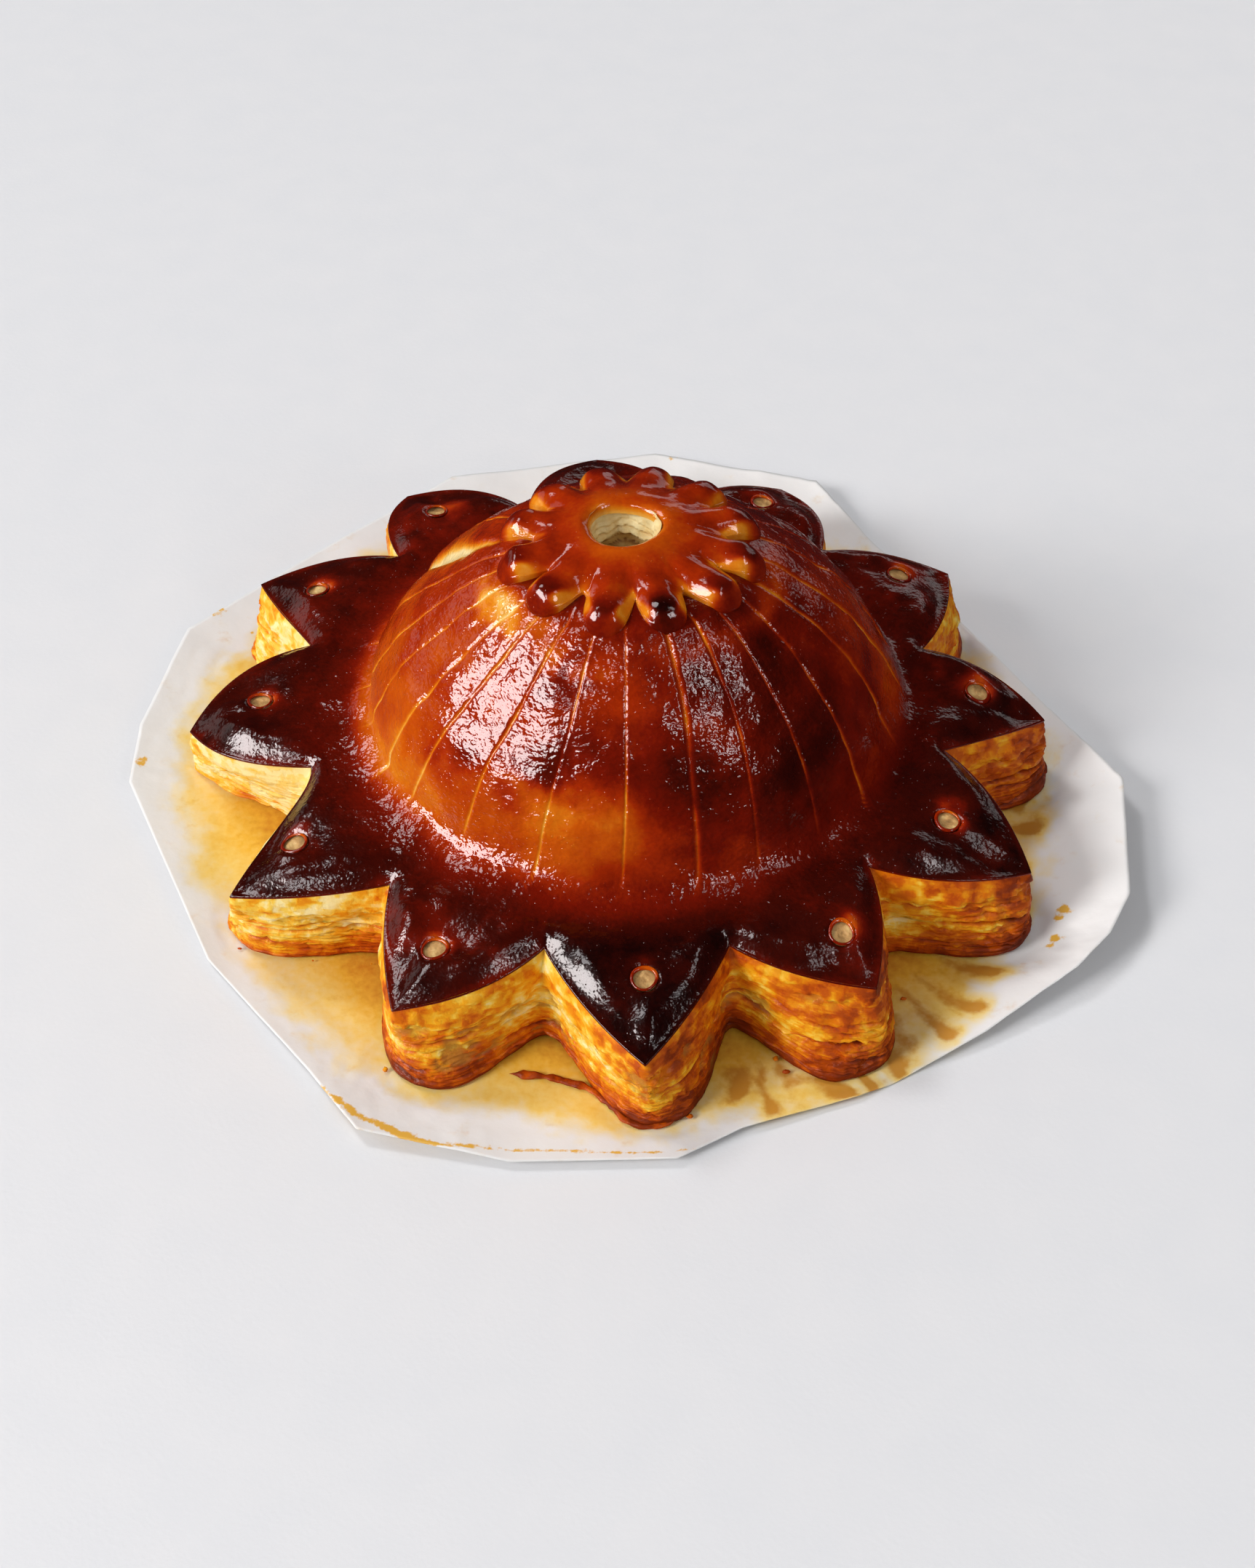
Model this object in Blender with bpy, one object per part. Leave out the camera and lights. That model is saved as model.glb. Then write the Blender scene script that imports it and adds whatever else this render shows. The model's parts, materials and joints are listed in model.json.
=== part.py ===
"""A pithivier: a domed, star-cut puff-pastry pie with a dough rosette, on its round of baking paper.

The pie and the rosette are lofts in polar form about the pie's axis: each ring is a radius and a
height worked out for every azimuth. Azimuths are in degrees, anticlockwise from +X, seen from above.
"""

import math

import bmesh
import bpy
import numpy as np

# Driving dimensions, in metres
REACH = 0.115  # the pie's axis to the tip of a petal
PIE_X, PIE_Y = 0.0, -0.0080  # the pie stands a little in front of the middle of its sheet
PAPER_THICKNESS = 0.0004
GAP = 0.0003  # left between pieces that touch
EYELET_RADIUS = 0.0030
EYELET_DEPTH = 0.0028
VENT_RADIUS = 0.078 * REACH
VENT_SHIFT = (0.012, 0.015)  # off the star's axis, as parts of REACH
VENT_FLOOR = 0.600 * REACH

# Petals, clockwise from the front one: reach of the tip, its turn from a regular twelfth, and how far
# its sides bulge, clockwise side first (0 is straight, below 0 is hollow)
FIRST_PETAL = -87.0
PETALS = [
    (1.000, 0.2, 0.00, 0.36), (0.977, -1.5, 0.00, 0.28), (1.002, 0.1, -0.50, 0.00),
    (0.997, -0.8, 0.42, 0.48), (1.015, -1.5, 0.20, -0.15), (1.005, 0.5, 0.20, 0.20),
    (1.000, 0.6, 0.20, 0.20), (0.960, 1.0, 0.20, 0.20), (0.975, -0.5, 0.10, 0.20),
    (0.994, -3.0, -0.10, 0.30), (1.020, -0.9, 0.28, 0.10), (0.965, 0.9, 0.15, 0.12),
]
# The notch after each petal: reach, and turn from half way between two regular petals
NOTCHES = [
    (0.742, 0.0), (0.734, 0.2), (0.722, -2.5), (0.765, -4.0), (0.770, -2.5), (0.760, 0.0),
    (0.755, 0.5), (0.755, 0.0), (0.750, -2.5), (0.752, 1.2), (0.733, -0.5), (0.755, 0.0),
]
# The same for the lowest layer, which slumped its own way in the oven and has round tips and notches
PETAL_FEET = [
    (1.011, 1.1, 0.00, 0.70), (1.000, 1.5, 0.30, 0.60), (0.990, -4.5, 0.20, 0.60),
    (1.020, -4.5, 0.30, -0.40), (1.037, 0.0, 0.30, 0.20), (1.020, 0.5, 0.30, 0.30),
    (1.015, 0.6, 0.30, 0.30), (0.980, 1.0, 0.30, 0.30), (1.010, -0.6, 0.30, 0.30),
    (1.020, -2.5, 0.50, 0.30), (1.040, -1.8, 0.30, 0.30), (1.024, 0.0, 1.60, 0.10),
]
NOTCH_FEET = [
    (0.787, 0.6), (0.752, -1.0), (0.742, -4.0), (0.790, -4.0), (0.800, -2.5), (0.790, 0.0),
    (0.785, 0.5), (0.785, 0.0), (0.790, -2.5), (0.800, 0.0), (0.800, -1.5), (0.787, 0.0),
]
EYELET_REACH = 0.832
EYELET_TOP = 0.236  # height of the petal round a pricked hole
STEP = 360.0 / len(PETALS)
COLUMNS_PER_SIDE = 5  # columns of the loft from a tip to a notch

# The pie's profile, as parts of REACH
TIP_HEIGHT = 0.200
NOTCH_HEIGHT = 0.242
RING_REACH = 0.690
RING_HEIGHT = 0.256
PUFF = 0.018  # how far a petal swells above its cut edge
CREST = 1.3  # how late the cut edge falls away toward a petal's tip
BASE_TURN = 0.010  # the height and width of the round where the side meets the base
# The cut side, upward: part of the way from the lowest layer's outline to the cut edge's, how far it
# swells out, and part of the way up from the base
WALL = [(0.4, 0.006, 0.45), (0.9, 0.003, 0.80), (1.0, 0.0, 1.0)]
# Across a petal's top: part of the way from the cut edge to the ring round the dome, and part of PUFF
PETAL_TOP = [(0.10, 0.75), (0.28, 1.0), (0.52, 0.85), (0.76, 0.5), (1.0, 0.0)]
DOME_SHIFT = (0.030, 0.020)  # the dome leans off the star's axis
DOME = [
    (0.640, 0.266), (0.606, 0.285), (0.598, 0.335), (0.568, 0.400), (0.525, 0.475),
    (0.465, 0.545), (0.395, 0.615), (0.320, 0.675), (0.250, 0.715), (0.092, 0.742),
]

# The rosette, as parts of REACH
FINGERS = 12
FINGER_START = -73.0
FINGER_REACH = 0.296
WEB_REACH = 0.196  # the bottom of the gap between two fingers
ROSETTE_SHIFT = (0.027, 0.020)
ROSETTE_TOP = [(0.088, 0.766), (0.102, 0.777), (0.150, 0.768)]  # radius and height from the vent outward
ROSETTE_CROWN = [(0.19, 0.752), (0.25, 0.738), (0.30, 0.712)]  # the same out over the fingers
# Half a finger: degrees off its axis, and part of the way from the web to the tip
FINGER_SIDE = [(0.0, 1.0), (4.0, 0.95), (6.8, 0.78), (8.2, 0.42), (10.5, 0.10)]
FINGER_EDGE = 0.006  # how round a finger's edge is

# Corners of the paper: azimuth, reach from the pie's axis and lift of its rim, as parts of REACH
PAPER_CORNERS = [
    (-178.5, 1.170, 0.020), (-148.0, 1.075, 0.010), (-127.0, 1.095, 0.015), (-117.5, 1.170, 0.030),
    (-101.3, 1.130, 0.012), (-83.7, 1.107, 0.014), (-75.8, 1.055, 0.012), (-61.8, 1.066, 0.022),
    (-57.3, 1.072, 0.000), (-44.7, 1.095, 0.040), (-20.8, 1.220, 0.075), (-3.5, 1.190, 0.075),
    (11.5, 1.075, 0.030), (35.0, 1.045, 0.006), (52.0, 1.095, 0.020), (63.8, 1.215, 0.045),
    (85.5, 1.250, 0.020), (112.0, 1.240, 0.015), (134.0, 1.160, 0.010), (155.0, 1.220, 0.020),
    (172.0, 1.185, 0.020),
]
PAPER_CUTS = 3  # columns of the sheet along each straight cut
PAPER_FLAT = 0.94  # the sheet lies flat at least this far out


def clear_scene():
    for obj in list(bpy.data.objects):
        bpy.data.objects.remove(obj, do_unlink=True)


def material(name, colour, roughness):
    mat = bpy.data.materials.new(name)
    mat.use_nodes = True
    shader = mat.node_tree.nodes["Principled BSDF"]
    shader.inputs["Base Color"].default_value = (*colour, 1.0)
    shader.inputs["Roughness"].default_value = roughness
    shader.inputs["Metallic"].default_value = 0.0
    return mat


def new_object(name, bm, collection, mat=None):
    bmesh.ops.recalc_face_normals(bm, faces=bm.faces)
    mesh = bpy.data.meshes.new(name)
    bm.to_mesh(mesh)
    bm.free()
    obj = bpy.data.objects.new(name, mesh)
    collection.objects.link(obj)
    obj.location = (PIE_X, PIE_Y, 0.0)
    if mat:
        mesh.materials.append(mat)
        mesh.shade_smooth()
        mesh.set_sharp_from_angle(angle=math.radians(40))
    return obj


def loft(rings, closed_ring=False):
    """Quads between rings of equal length; each end is a fan unless the last ring meets the first."""
    bm = bmesh.new()
    rows = [[bm.verts.new(point) for point in ring] for ring in rings]
    pairs = list(zip(rows, rows[1:]))
    if closed_ring:
        pairs.append((rows[-1], rows[0]))
    for low, high in pairs:
        for i in range(len(low)):
            j = (i + 1) % len(low)
            bm.faces.new((low[i], low[j], high[j], high[i]))
    if not closed_ring:
        for row, ring in ((rows[0], rings[0]), (rows[-1], rings[-1])):
            hub = bm.verts.new(np.mean(ring, axis=0))
            for i in range(len(row)):
                bm.faces.new((row[i], row[(i + 1) % len(row)], hub))
    return bm


def polar(azimuth, radius, height, shift=(0.0, 0.0)):
    """Points at these azimuths, radii and heights, given as parts of REACH."""
    angle = np.radians(azimuth)
    x = radius * np.cos(angle) + shift[0]
    y = radius * np.sin(angle) + shift[1]
    return np.stack(np.broadcast_arrays(x, y, height), axis=-1) * REACH


def axes(tips, notches):
    """The azimuths of the petals' tips and of the notch after each, clockwise without a wrap."""
    regular = FIRST_PETAL - STEP * np.arange(len(tips))
    tip_turns = np.array([tip[1] for tip in tips])
    notch_turns = np.array([notch[1] for notch in notches])
    return regular + tip_turns, regular - STEP / 2 + notch_turns


def star(tips, notches, side):
    """(azimuth, reach) of a star, clockwise, with columns at every tip and notch.

    side(u, bulge) says how far the edge has dropped from the tip to the notch, u of the way round.
    """
    tip_axis, notch_axis = axes(tips, notches)
    azimuth, reach = [], []
    for k, (tip, _, bulge_after, bulge_before) in enumerate(tips):
        turn = 360.0 if k == 0 else 0.0
        sides = (
            (notch_axis[k - 1] + turn, notches[k - 1][0], bulge_before, range(COLUMNS_PER_SIDE, 0, -1)),
            (notch_axis[k], notches[k][0], bulge_after, range(COLUMNS_PER_SIDE)),
        )
        for notch_azimuth, notch, bulge, steps in sides:
            u = np.array(steps) / COLUMNS_PER_SIDE
            azimuth.extend(tip_axis[k] + (notch_azimuth - tip_axis[k]) * u)
            reach.extend(tip - (tip - notch) * side(u, bulge))
    return np.array(azimuth), np.array(reach)


def sharp(u, bulge):
    return (1.0 - bulge) * u + bulge * u**3


def rounded(u, bulge):
    return (u * u * (3.0 - 2.0 * u)) ** (1.0 + bulge)


def toward_tip():
    """For each column, 1 at a tip and 0 at a notch."""
    down = np.arange(COLUMNS_PER_SIDE, 0, -1) / COLUMNS_PER_SIDE
    up = np.arange(COLUMNS_PER_SIDE) / COLUMNS_PER_SIDE
    return np.tile(1.0 - np.concatenate([down, up]), len(PETALS))


def pie_rings():
    azimuth, reach = star(PETALS, NOTCHES, sharp)
    foot_azimuth, foot = star(PETAL_FEET, NOTCH_FEET, rounded)
    bottom = (PAPER_THICKNESS + GAP) / REACH
    edge = NOTCH_HEIGHT + (TIP_HEIGHT - NOTCH_HEIGHT) * toward_tip() ** CREST

    def wall(part, swell, height):
        """Part of the way from the lowest layer's outline up to the cut edge of the top."""
        between = foot_azimuth + part * (azimuth - foot_azimuth)
        return polar(between, foot + part * (reach - foot) + swell, height)

    rings = [
        polar(foot_azimuth, 0.5 * foot, bottom),
        wall(0.0, -BASE_TURN, bottom),
        wall(0.0, 0.0, bottom + BASE_TURN),
    ]
    rings += [wall(part, swell, bottom + up * (edge - bottom)) for part, swell, up in WALL]
    inset = reach - RING_REACH
    for part, swell in PETAL_TOP:
        height = edge + part * (RING_HEIGHT - edge) + swell * PUFF
        rings.append(polar(azimuth, reach - part * inset, height))
    for radius, height in DOME:
        rings.append(polar(azimuth, radius, height, DOME_SHIFT))
    vent = VENT_RADIUS / REACH
    floor = VENT_FLOOR / REACH
    well = ((vent, DOME[-1][1] - 0.020), (vent - 0.006, floor + 0.010), (0.5 * vent, floor))
    rings += [polar(azimuth, radius, height, VENT_SHIFT) for radius, height in well]
    return rings


def eyelet_cutters(collection):
    """One short post for each petal, sunk into its top where the pricked hole is."""
    bm = bmesh.new()
    top = EYELET_TOP * REACH
    proud = 0.002
    tip_axis, _ = axes(PETALS, NOTCHES)
    for k in range(len(PETALS)):
        angle = math.radians(tip_axis[k])
        post = bmesh.ops.create_cone(
            bm, cap_ends=True, segments=10, depth=2.0 * (EYELET_DEPTH + proud),
            radius1=0.8 * EYELET_RADIUS, radius2=1.1 * EYELET_RADIUS,
        )
        place = (
            EYELET_REACH * REACH * math.cos(angle),
            EYELET_REACH * REACH * math.sin(angle),
            top + proud,
        )
        bmesh.ops.translate(bm, verts=post["verts"], vec=place)
    cutters = new_object("eyelet_cutters", bm, collection)
    cutters.hide_render = True
    cutters.display_type = "WIRE"
    return cutters


def make_pie(parts, helpers):
    glaze = material("crust", (0.26, 0.06, 0.015), 0.3)
    pie = new_object("pastry_pie", loft(pie_rings()), parts, glaze)
    cut = pie.modifiers.new("eyelets", "BOOLEAN")
    cut.operation = "DIFFERENCE"
    cut.solver = "EXACT"
    cut.object = eyelet_cutters(helpers)


def rosette_columns():
    """(azimuth, outer reach) of the rosette: narrow fingers with round ends, and webs between them."""
    left = [(-offset, part) for offset, part in reversed(FINGER_SIDE)]
    web = [(180.0 / FINGERS, 0.0)]
    azimuth, reach = [], []
    for k in range(FINGERS):
        axis = FINGER_START - 360.0 / FINGERS * k
        for offset, part in left + FINGER_SIDE[1:] + web:
            azimuth.append(axis - offset)
            reach.append(WEB_REACH + (FINGER_REACH - WEB_REACH) * part)
    return np.array(azimuth), np.array(reach)


def dome_height(radius):
    """The dome's own height at a radius from its axis."""
    profile = np.array(DOME[::-1])
    return np.interp(radius, profile[:, 0], profile[:, 1])


def crown_height(radius):
    """The top of the rosette's fingers at a radius from the rosette's axis."""
    profile = np.array(ROSETTE_CROWN)
    return np.interp(radius, profile[:, 0], profile[:, 1])


def make_rosette(parts):
    """A ring of dough round the vent, laid on the crown of the dome with a hair's gap under it."""
    azimuth, reach = rosette_columns()
    gap = 1.6 * GAP / REACH  # measured upright, so that it is a full gap square to the dome's slope
    lip = VENT_RADIUS / REACH + FINGER_EDGE
    inside, inside_height = ROSETTE_TOP[-1]
    tip = reach - FINGER_EDGE
    half_way = 0.5 * (inside + tip)
    seat = np.minimum(DOME[-2][0], tip - 0.010)

    rings = [polar(azimuth, lip, DOME[-1][1] + gap, VENT_SHIFT)]
    rings += [polar(azimuth, radius, height, VENT_SHIFT) for radius, height in ROSETTE_TOP]
    for radius, height in (
        (half_way, 0.5 * (inside_height + crown_height(tip))),
        (tip, crown_height(tip)),
        (reach, 0.5 * (crown_height(reach) + dome_height(reach) + gap)),
        (tip, dome_height(tip) + gap),
        (seat, dome_height(seat) + gap),
    ):
        rings.append(polar(azimuth, radius, height, ROSETTE_SHIFT))
    glaze = material("rosette", (0.2, 0.04, 0.01), 0.3)
    new_object("dough_rosette", loft(rings, closed_ring=True), parts, glaze)


def paper_rim():
    """(azimuth, reach, lift) round the sheet, along the straight cuts between its corners."""
    corners = np.array(PAPER_CORNERS)
    angle = np.radians(corners[:, 0])
    xyz = np.stack([corners[:, 1] * np.cos(angle), corners[:, 1] * np.sin(angle), corners[:, 2]], axis=-1)
    after = np.roll(xyz, -1, axis=0)
    parts = np.arange(PAPER_CUTS)[None, :, None] / PAPER_CUTS
    points = (xyz[:, None, :] * (1.0 - parts) + after[:, None, :] * parts).reshape(-1, 3)
    x, y, lift = points.T
    return np.degrees(np.arctan2(y, x)), np.hypot(x, y), lift


def make_paper(parts):
    """Flat under the pie, with a rim that curls up where the sheet has dried free of the tray."""
    azimuth, rim, lift = paper_rim()
    foot_azimuth, foot = star(PETAL_FEET, NOTCH_FEET, rounded)
    base = np.interp(azimuth, foot_azimuth[::-1], foot[::-1], period=360.0)
    flat = np.minimum(np.maximum(base + 0.020, PAPER_FLAT), rim - 0.012)
    under = [(0.45 * flat, 0.0), (flat, 0.0)]
    under += [(flat + part * (rim - flat), lift * part**1.5) for part in (0.55, 1.0)]
    thickness = PAPER_THICKNESS / REACH
    rings = [polar(azimuth, radius, height) for radius, height in under]
    rings += [polar(azimuth, radius, height + thickness) for radius, height in reversed(under)]
    new_object("baking_paper", loft(rings), parts, material("paper", (0.75, 0.66, 0.5), 0.6))


def main():
    clear_scene()
    scene = bpy.context.scene.collection
    parts = bpy.data.collections.new("pithivier")
    helpers = bpy.data.collections.new("cutters")
    scene.children.link(parts)
    scene.children.link(helpers)
    make_pie(parts, helpers)
    make_rosette(parts)
    make_paper(parts)


main()
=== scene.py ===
import json
import math

import bpy
import mathutils
import numpy as np
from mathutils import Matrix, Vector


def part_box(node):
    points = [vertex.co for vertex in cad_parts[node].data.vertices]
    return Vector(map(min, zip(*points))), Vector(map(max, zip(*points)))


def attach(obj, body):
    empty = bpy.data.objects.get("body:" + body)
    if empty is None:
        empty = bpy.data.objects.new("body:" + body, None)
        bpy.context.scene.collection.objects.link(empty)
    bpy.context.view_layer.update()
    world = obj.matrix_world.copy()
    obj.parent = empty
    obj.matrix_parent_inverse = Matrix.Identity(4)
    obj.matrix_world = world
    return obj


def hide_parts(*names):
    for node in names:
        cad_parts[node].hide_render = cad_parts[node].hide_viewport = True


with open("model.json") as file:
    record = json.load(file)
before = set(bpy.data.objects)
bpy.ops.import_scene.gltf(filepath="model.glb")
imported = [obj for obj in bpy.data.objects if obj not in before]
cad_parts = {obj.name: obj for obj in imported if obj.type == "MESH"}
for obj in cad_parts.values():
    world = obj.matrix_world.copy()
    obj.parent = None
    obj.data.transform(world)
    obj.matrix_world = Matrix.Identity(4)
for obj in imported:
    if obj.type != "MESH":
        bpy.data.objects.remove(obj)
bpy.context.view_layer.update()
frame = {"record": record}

# Lengths are in parts of the petals' reach, or in millimetres where a name ends in Mm, and the
# studio's are in metres. Azimuths are in degrees, anticlockwise from +X seen from above, and the
# outlines go round clockwise from the front
reach = 0.115
mm = 0.001 / reach
axisX, axisY, axisZ = frame["record"]["mounts"][0]["pos_m"]
pieLow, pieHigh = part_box("pastry_pie")
baseHeight = pieLow[2] / reach

star = {
    "columns": 32,  # from a tip to a notch
    "firstPetal": -87.0,
    # reach of the tip, its turn, bulge of the clockwise side and of the other
    "tips": [(1.000, 0.2, 0.00, -0.04), (0.977, -1.5, 0.00, 0.28), (1.002, 0.1, -0.50, 0.00),
             (0.997, -0.8, 0.42, 0.48), (1.015, -1.5, 0.20, -0.15), (1.000, 0.5, 0.45, 0.45),
             (0.990, 0.6, 0.50, 0.50), (0.960, 1.0, 0.45, 0.45), (0.975, -0.5, 0.10, 0.20),
             (0.994, -3.0, -0.10, 0.30), (1.020, -0.9, 0.28, 0.10), (0.965, 0.9, 0.15, 0.12)],
    # reach and turn of the notch after each petal
    "notches": [(0.742, 0.0), (0.734, 0.2), (0.722, -2.5), (0.765, -4.0), (0.770, -2.5),
                (0.760, 0.0), (0.755, 0.5), (0.755, 0.0), (0.750, -2.5), (0.752, 1.2),
                (0.733, -0.5), (0.755, 0.0)],
    # the same for the lowest layer
    "tipFeet": [(1.011, 1.1, 0.00, 0.70), (1.000, 1.5, 0.30, 0.60), (0.990, -4.5, 0.20, 0.60),
                (1.020, -4.5, 0.30, -0.40), (1.037, 0.0, 0.30, 0.20), (1.020, 0.5, 0.30, 0.30),
                (1.015, 0.6, 0.30, 0.30), (0.980, 1.0, 0.30, 0.30), (1.010, -0.6, 0.30, 0.30),
                (1.020, -2.5, 0.50, 0.30), (1.040, -1.8, 0.30, 0.30), (1.024, 0.0, 1.60, 0.10)],
    "notchFeet": [(0.787, 0.6), (0.752, -1.0), (0.742, -4.0), (0.790, -4.0), (0.800, -2.5),
                  (0.790, 0.0), (0.785, 0.5), (0.785, 0.0), (0.790, -2.5), (0.800, 0.0),
                  (0.800, -1.5), (0.787, 0.0)],
    "tipHeight": 0.200,
    "notchHeight": 0.242,
    "crest": 1.3,
    "ringReach": 0.690,
    "ringHeight": 0.256,
}
petals = len(star["tips"])
petalStep = 360.0 / petals


# numbers: fades, angles, noise and soft paths
def smooth(low, high, x):  # 0 below low, 1 above high, 3u^2 - 2u^3 between
    u = np.clip((x - low) / (high - low), 0.0, 1.0)
    return u * u * (3.0 - 2.0 * u)


def bell(x, width):  # 1 at zero, falling as e to the minus square of x over width
    return np.exp(-((x / width) ** 2))


def around(azimuth, centre):  # degrees from centre, from -180 to 180
    return (azimuth - centre + 180.0) % 360.0 - 180.0


def lattice(i, j, k, seed):  # a fixed random number from -1 to 1 for each whole-numbered corner
    n = (i * 73856093) ^ (j * 19349663) ^ (k * 83492791) ^ (seed * 40503 + 977)
    n = (n ^ (n >> 13)) & 0x7FFFFFFF
    n = (n * 1274126177) & 0x7FFFFFFF
    n = (n ^ (n >> 15)) & 0xFFFF
    return n / 32767.5 - 1.0


def mottle(points, size, seed, octaves=2, fade=0.5):
    # random corner numbers of a cubic lattice blended with 3u^2 - 2u^3, each octave half the size
    total, weight, most = 0.0, 1.0, 0.0
    for octave in range(octaves):
        scaled = points / (np.asarray(size) / 2.0**octave) + 17.3 * octave
        whole = np.floor(scaled).astype(np.int64)
        part = scaled - whole
        part = part * part * (3.0 - 2.0 * part)
        value = 0.0
        for corner in range(8):
            dx, dy, dz = corner & 1, corner >> 1 & 1, corner >> 2
            share = (
                (part[..., 0] if dx else 1.0 - part[..., 0])
                * (part[..., 1] if dy else 1.0 - part[..., 1])
                * (part[..., 2] if dz else 1.0 - part[..., 2])
            )
            value = value + share * lattice(
                whole[..., 0] + dx, whole[..., 1] + dy, whole[..., 2] + dz, seed + octave
            )
        total = total + weight * value
        most += weight
        weight *= fade
    return total / most * 1.6


def softenedPath(points, count, spread):
    # even steps along a polyline, then a moving average of the given spread that keeps both ends
    points = np.asarray(points, float)
    run = np.concatenate([[0.0], np.cumsum(np.hypot(*np.diff(points, axis=0).T[:2]))])
    steps = 2000
    fine = np.linspace(0.0, run[-1], steps + 1)
    path = np.stack([np.interp(fine, run, column) for column in points.T], axis=-1)
    window = bell(np.linspace(-2.0, 2.0, 2 * int(spread / run[-1] * steps) + 3), 1.0)
    window /= window.sum()
    half = len(window) // 2
    padded = np.concatenate([
        2.0 * path[:1] - path[half:0:-1], path, 2.0 * path[-1:] - path[-2:-half - 2:-1]
    ])
    path = np.stack([np.convolve(column, window, "valid") for column in padded.T], axis=-1)
    return path[np.round(np.linspace(0, steps, count)).astype(int)]


# meshes: places, faces and the pieces made from them
def place(x, y, z):  # parts of the reach about the pie's axis, to metres in the frame
    return np.stack(np.broadcast_arrays(x * reach + axisX, y * reach + axisY, z * reach), axis=-1)


def gridFaces(rows, columns):  # quads between rows of points, closed round the columns
    i, j = np.meshgrid(np.arange(rows - 1), np.arange(columns), indexing="ij")
    after = (j + 1) % columns
    return np.stack([
        i * columns + j, i * columns + after, (i + 1) * columns + after, (i + 1) * columns + j
    ], axis=-1).reshape(-1, 4)


def placed(name, data):
    made = bpy.data.objects.new(name, data)
    bpy.context.scene.collection.objects.link(made)
    return made


def fanFaces(first, columns, hub, upward=True):  # triangles from a ring of points to one point
    j = np.arange(columns)
    after = (j + 1) % columns
    ring = (after, j) if upward else (j, after)
    return np.stack([first + ring[0], first + ring[1], 0 * j + hub], axis=-1)


def capFaces(first, columns):  # quads across a ring of an even number of points
    i = np.arange(columns // 2 - 1)
    return first + np.stack([i, i + 1, columns - 2 - i, columns - 1 - i], axis=-1)


def tubeFaces(rows, columns):  # a grid closed round its columns, with a cap at either end
    start, end = capFaces(0, columns)[:, ::-1], capFaces((rows - 1) * columns, columns)
    return np.concatenate([gridFaces(rows, columns), start, end])


def repeated(faces, count, each):  # the same faces for each of count copies of each points
    return (faces[None] + (np.arange(count) * each)[:, None, None]).reshape(-1, faces.shape[-1])


def newMesh(name, points, faces, traits, flip=False):
    # faces: an array for each number of corners; flip turns them round so that they point outward
    points = np.asarray(points, np.float32).reshape(-1, 3)
    groups = faces if isinstance(faces, list) else [faces]
    if flip:
        groups = [np.roll(group[:, ::-1], 1, axis=1) for group in groups]
    corners = np.concatenate([group.ravel() for group in groups]).astype(np.int32)
    counts = np.concatenate([np.full(len(group), group.shape[1]) for group in groups])
    mesh = bpy.data.meshes.new(name)
    mesh.vertices.add(len(points))
    mesh.loops.add(len(corners))
    mesh.polygons.add(len(counts))
    mesh.vertices.foreach_set("co", points.ravel())
    mesh.loops.foreach_set("vertex_index", corners)
    mesh.polygons.foreach_set("loop_start", (np.cumsum(counts) - counts).astype(np.int32))
    mesh.update(calc_edges=True)
    mesh.shade_smooth()
    for trait, values in traits.items():
        layer = mesh.attributes.new(trait, "FLOAT", "POINT")
        layer.data.foreach_set("value", np.ravel(values).astype(np.float32))
    return placed(name, mesh)


def finished(piece, material, slot, *nodes):
    piece.data.materials.append(material)
    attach(piece, "root")
    if nodes:
        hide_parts(*nodes)
    return piece


class Value:  # an output socket that adds its own Math nodes
    def __init__(self, recipe, socket):
        self.recipe, self.socket = recipe, socket

    def maths(self, operation, first, second):
        return self.recipe.node("ShaderNodeMath", {"operation": operation}, {0: first, 1: second})

    def __add__(self, other):
        return self.maths("ADD", self, other)

    def __sub__(self, other):
        return self.maths("SUBTRACT", self, other)

    def __mul__(self, other):
        return self.maths("MULTIPLY", self, other)

    def __rsub__(self, other):
        return self.maths("SUBTRACT", other, self)

    __radd__, __rmul__ = __add__, __mul__

    def rise(self, low, high, start=0.0, end=1.0):  # smoothly from start at low to end at high
        return self.recipe.node("ShaderNodeMapRange", {"interpolation_type": "SMOOTHSTEP"}, {
            "Value": self, "From Min": low, "From Max": high, "To Min": start, "To Max": end})


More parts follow.
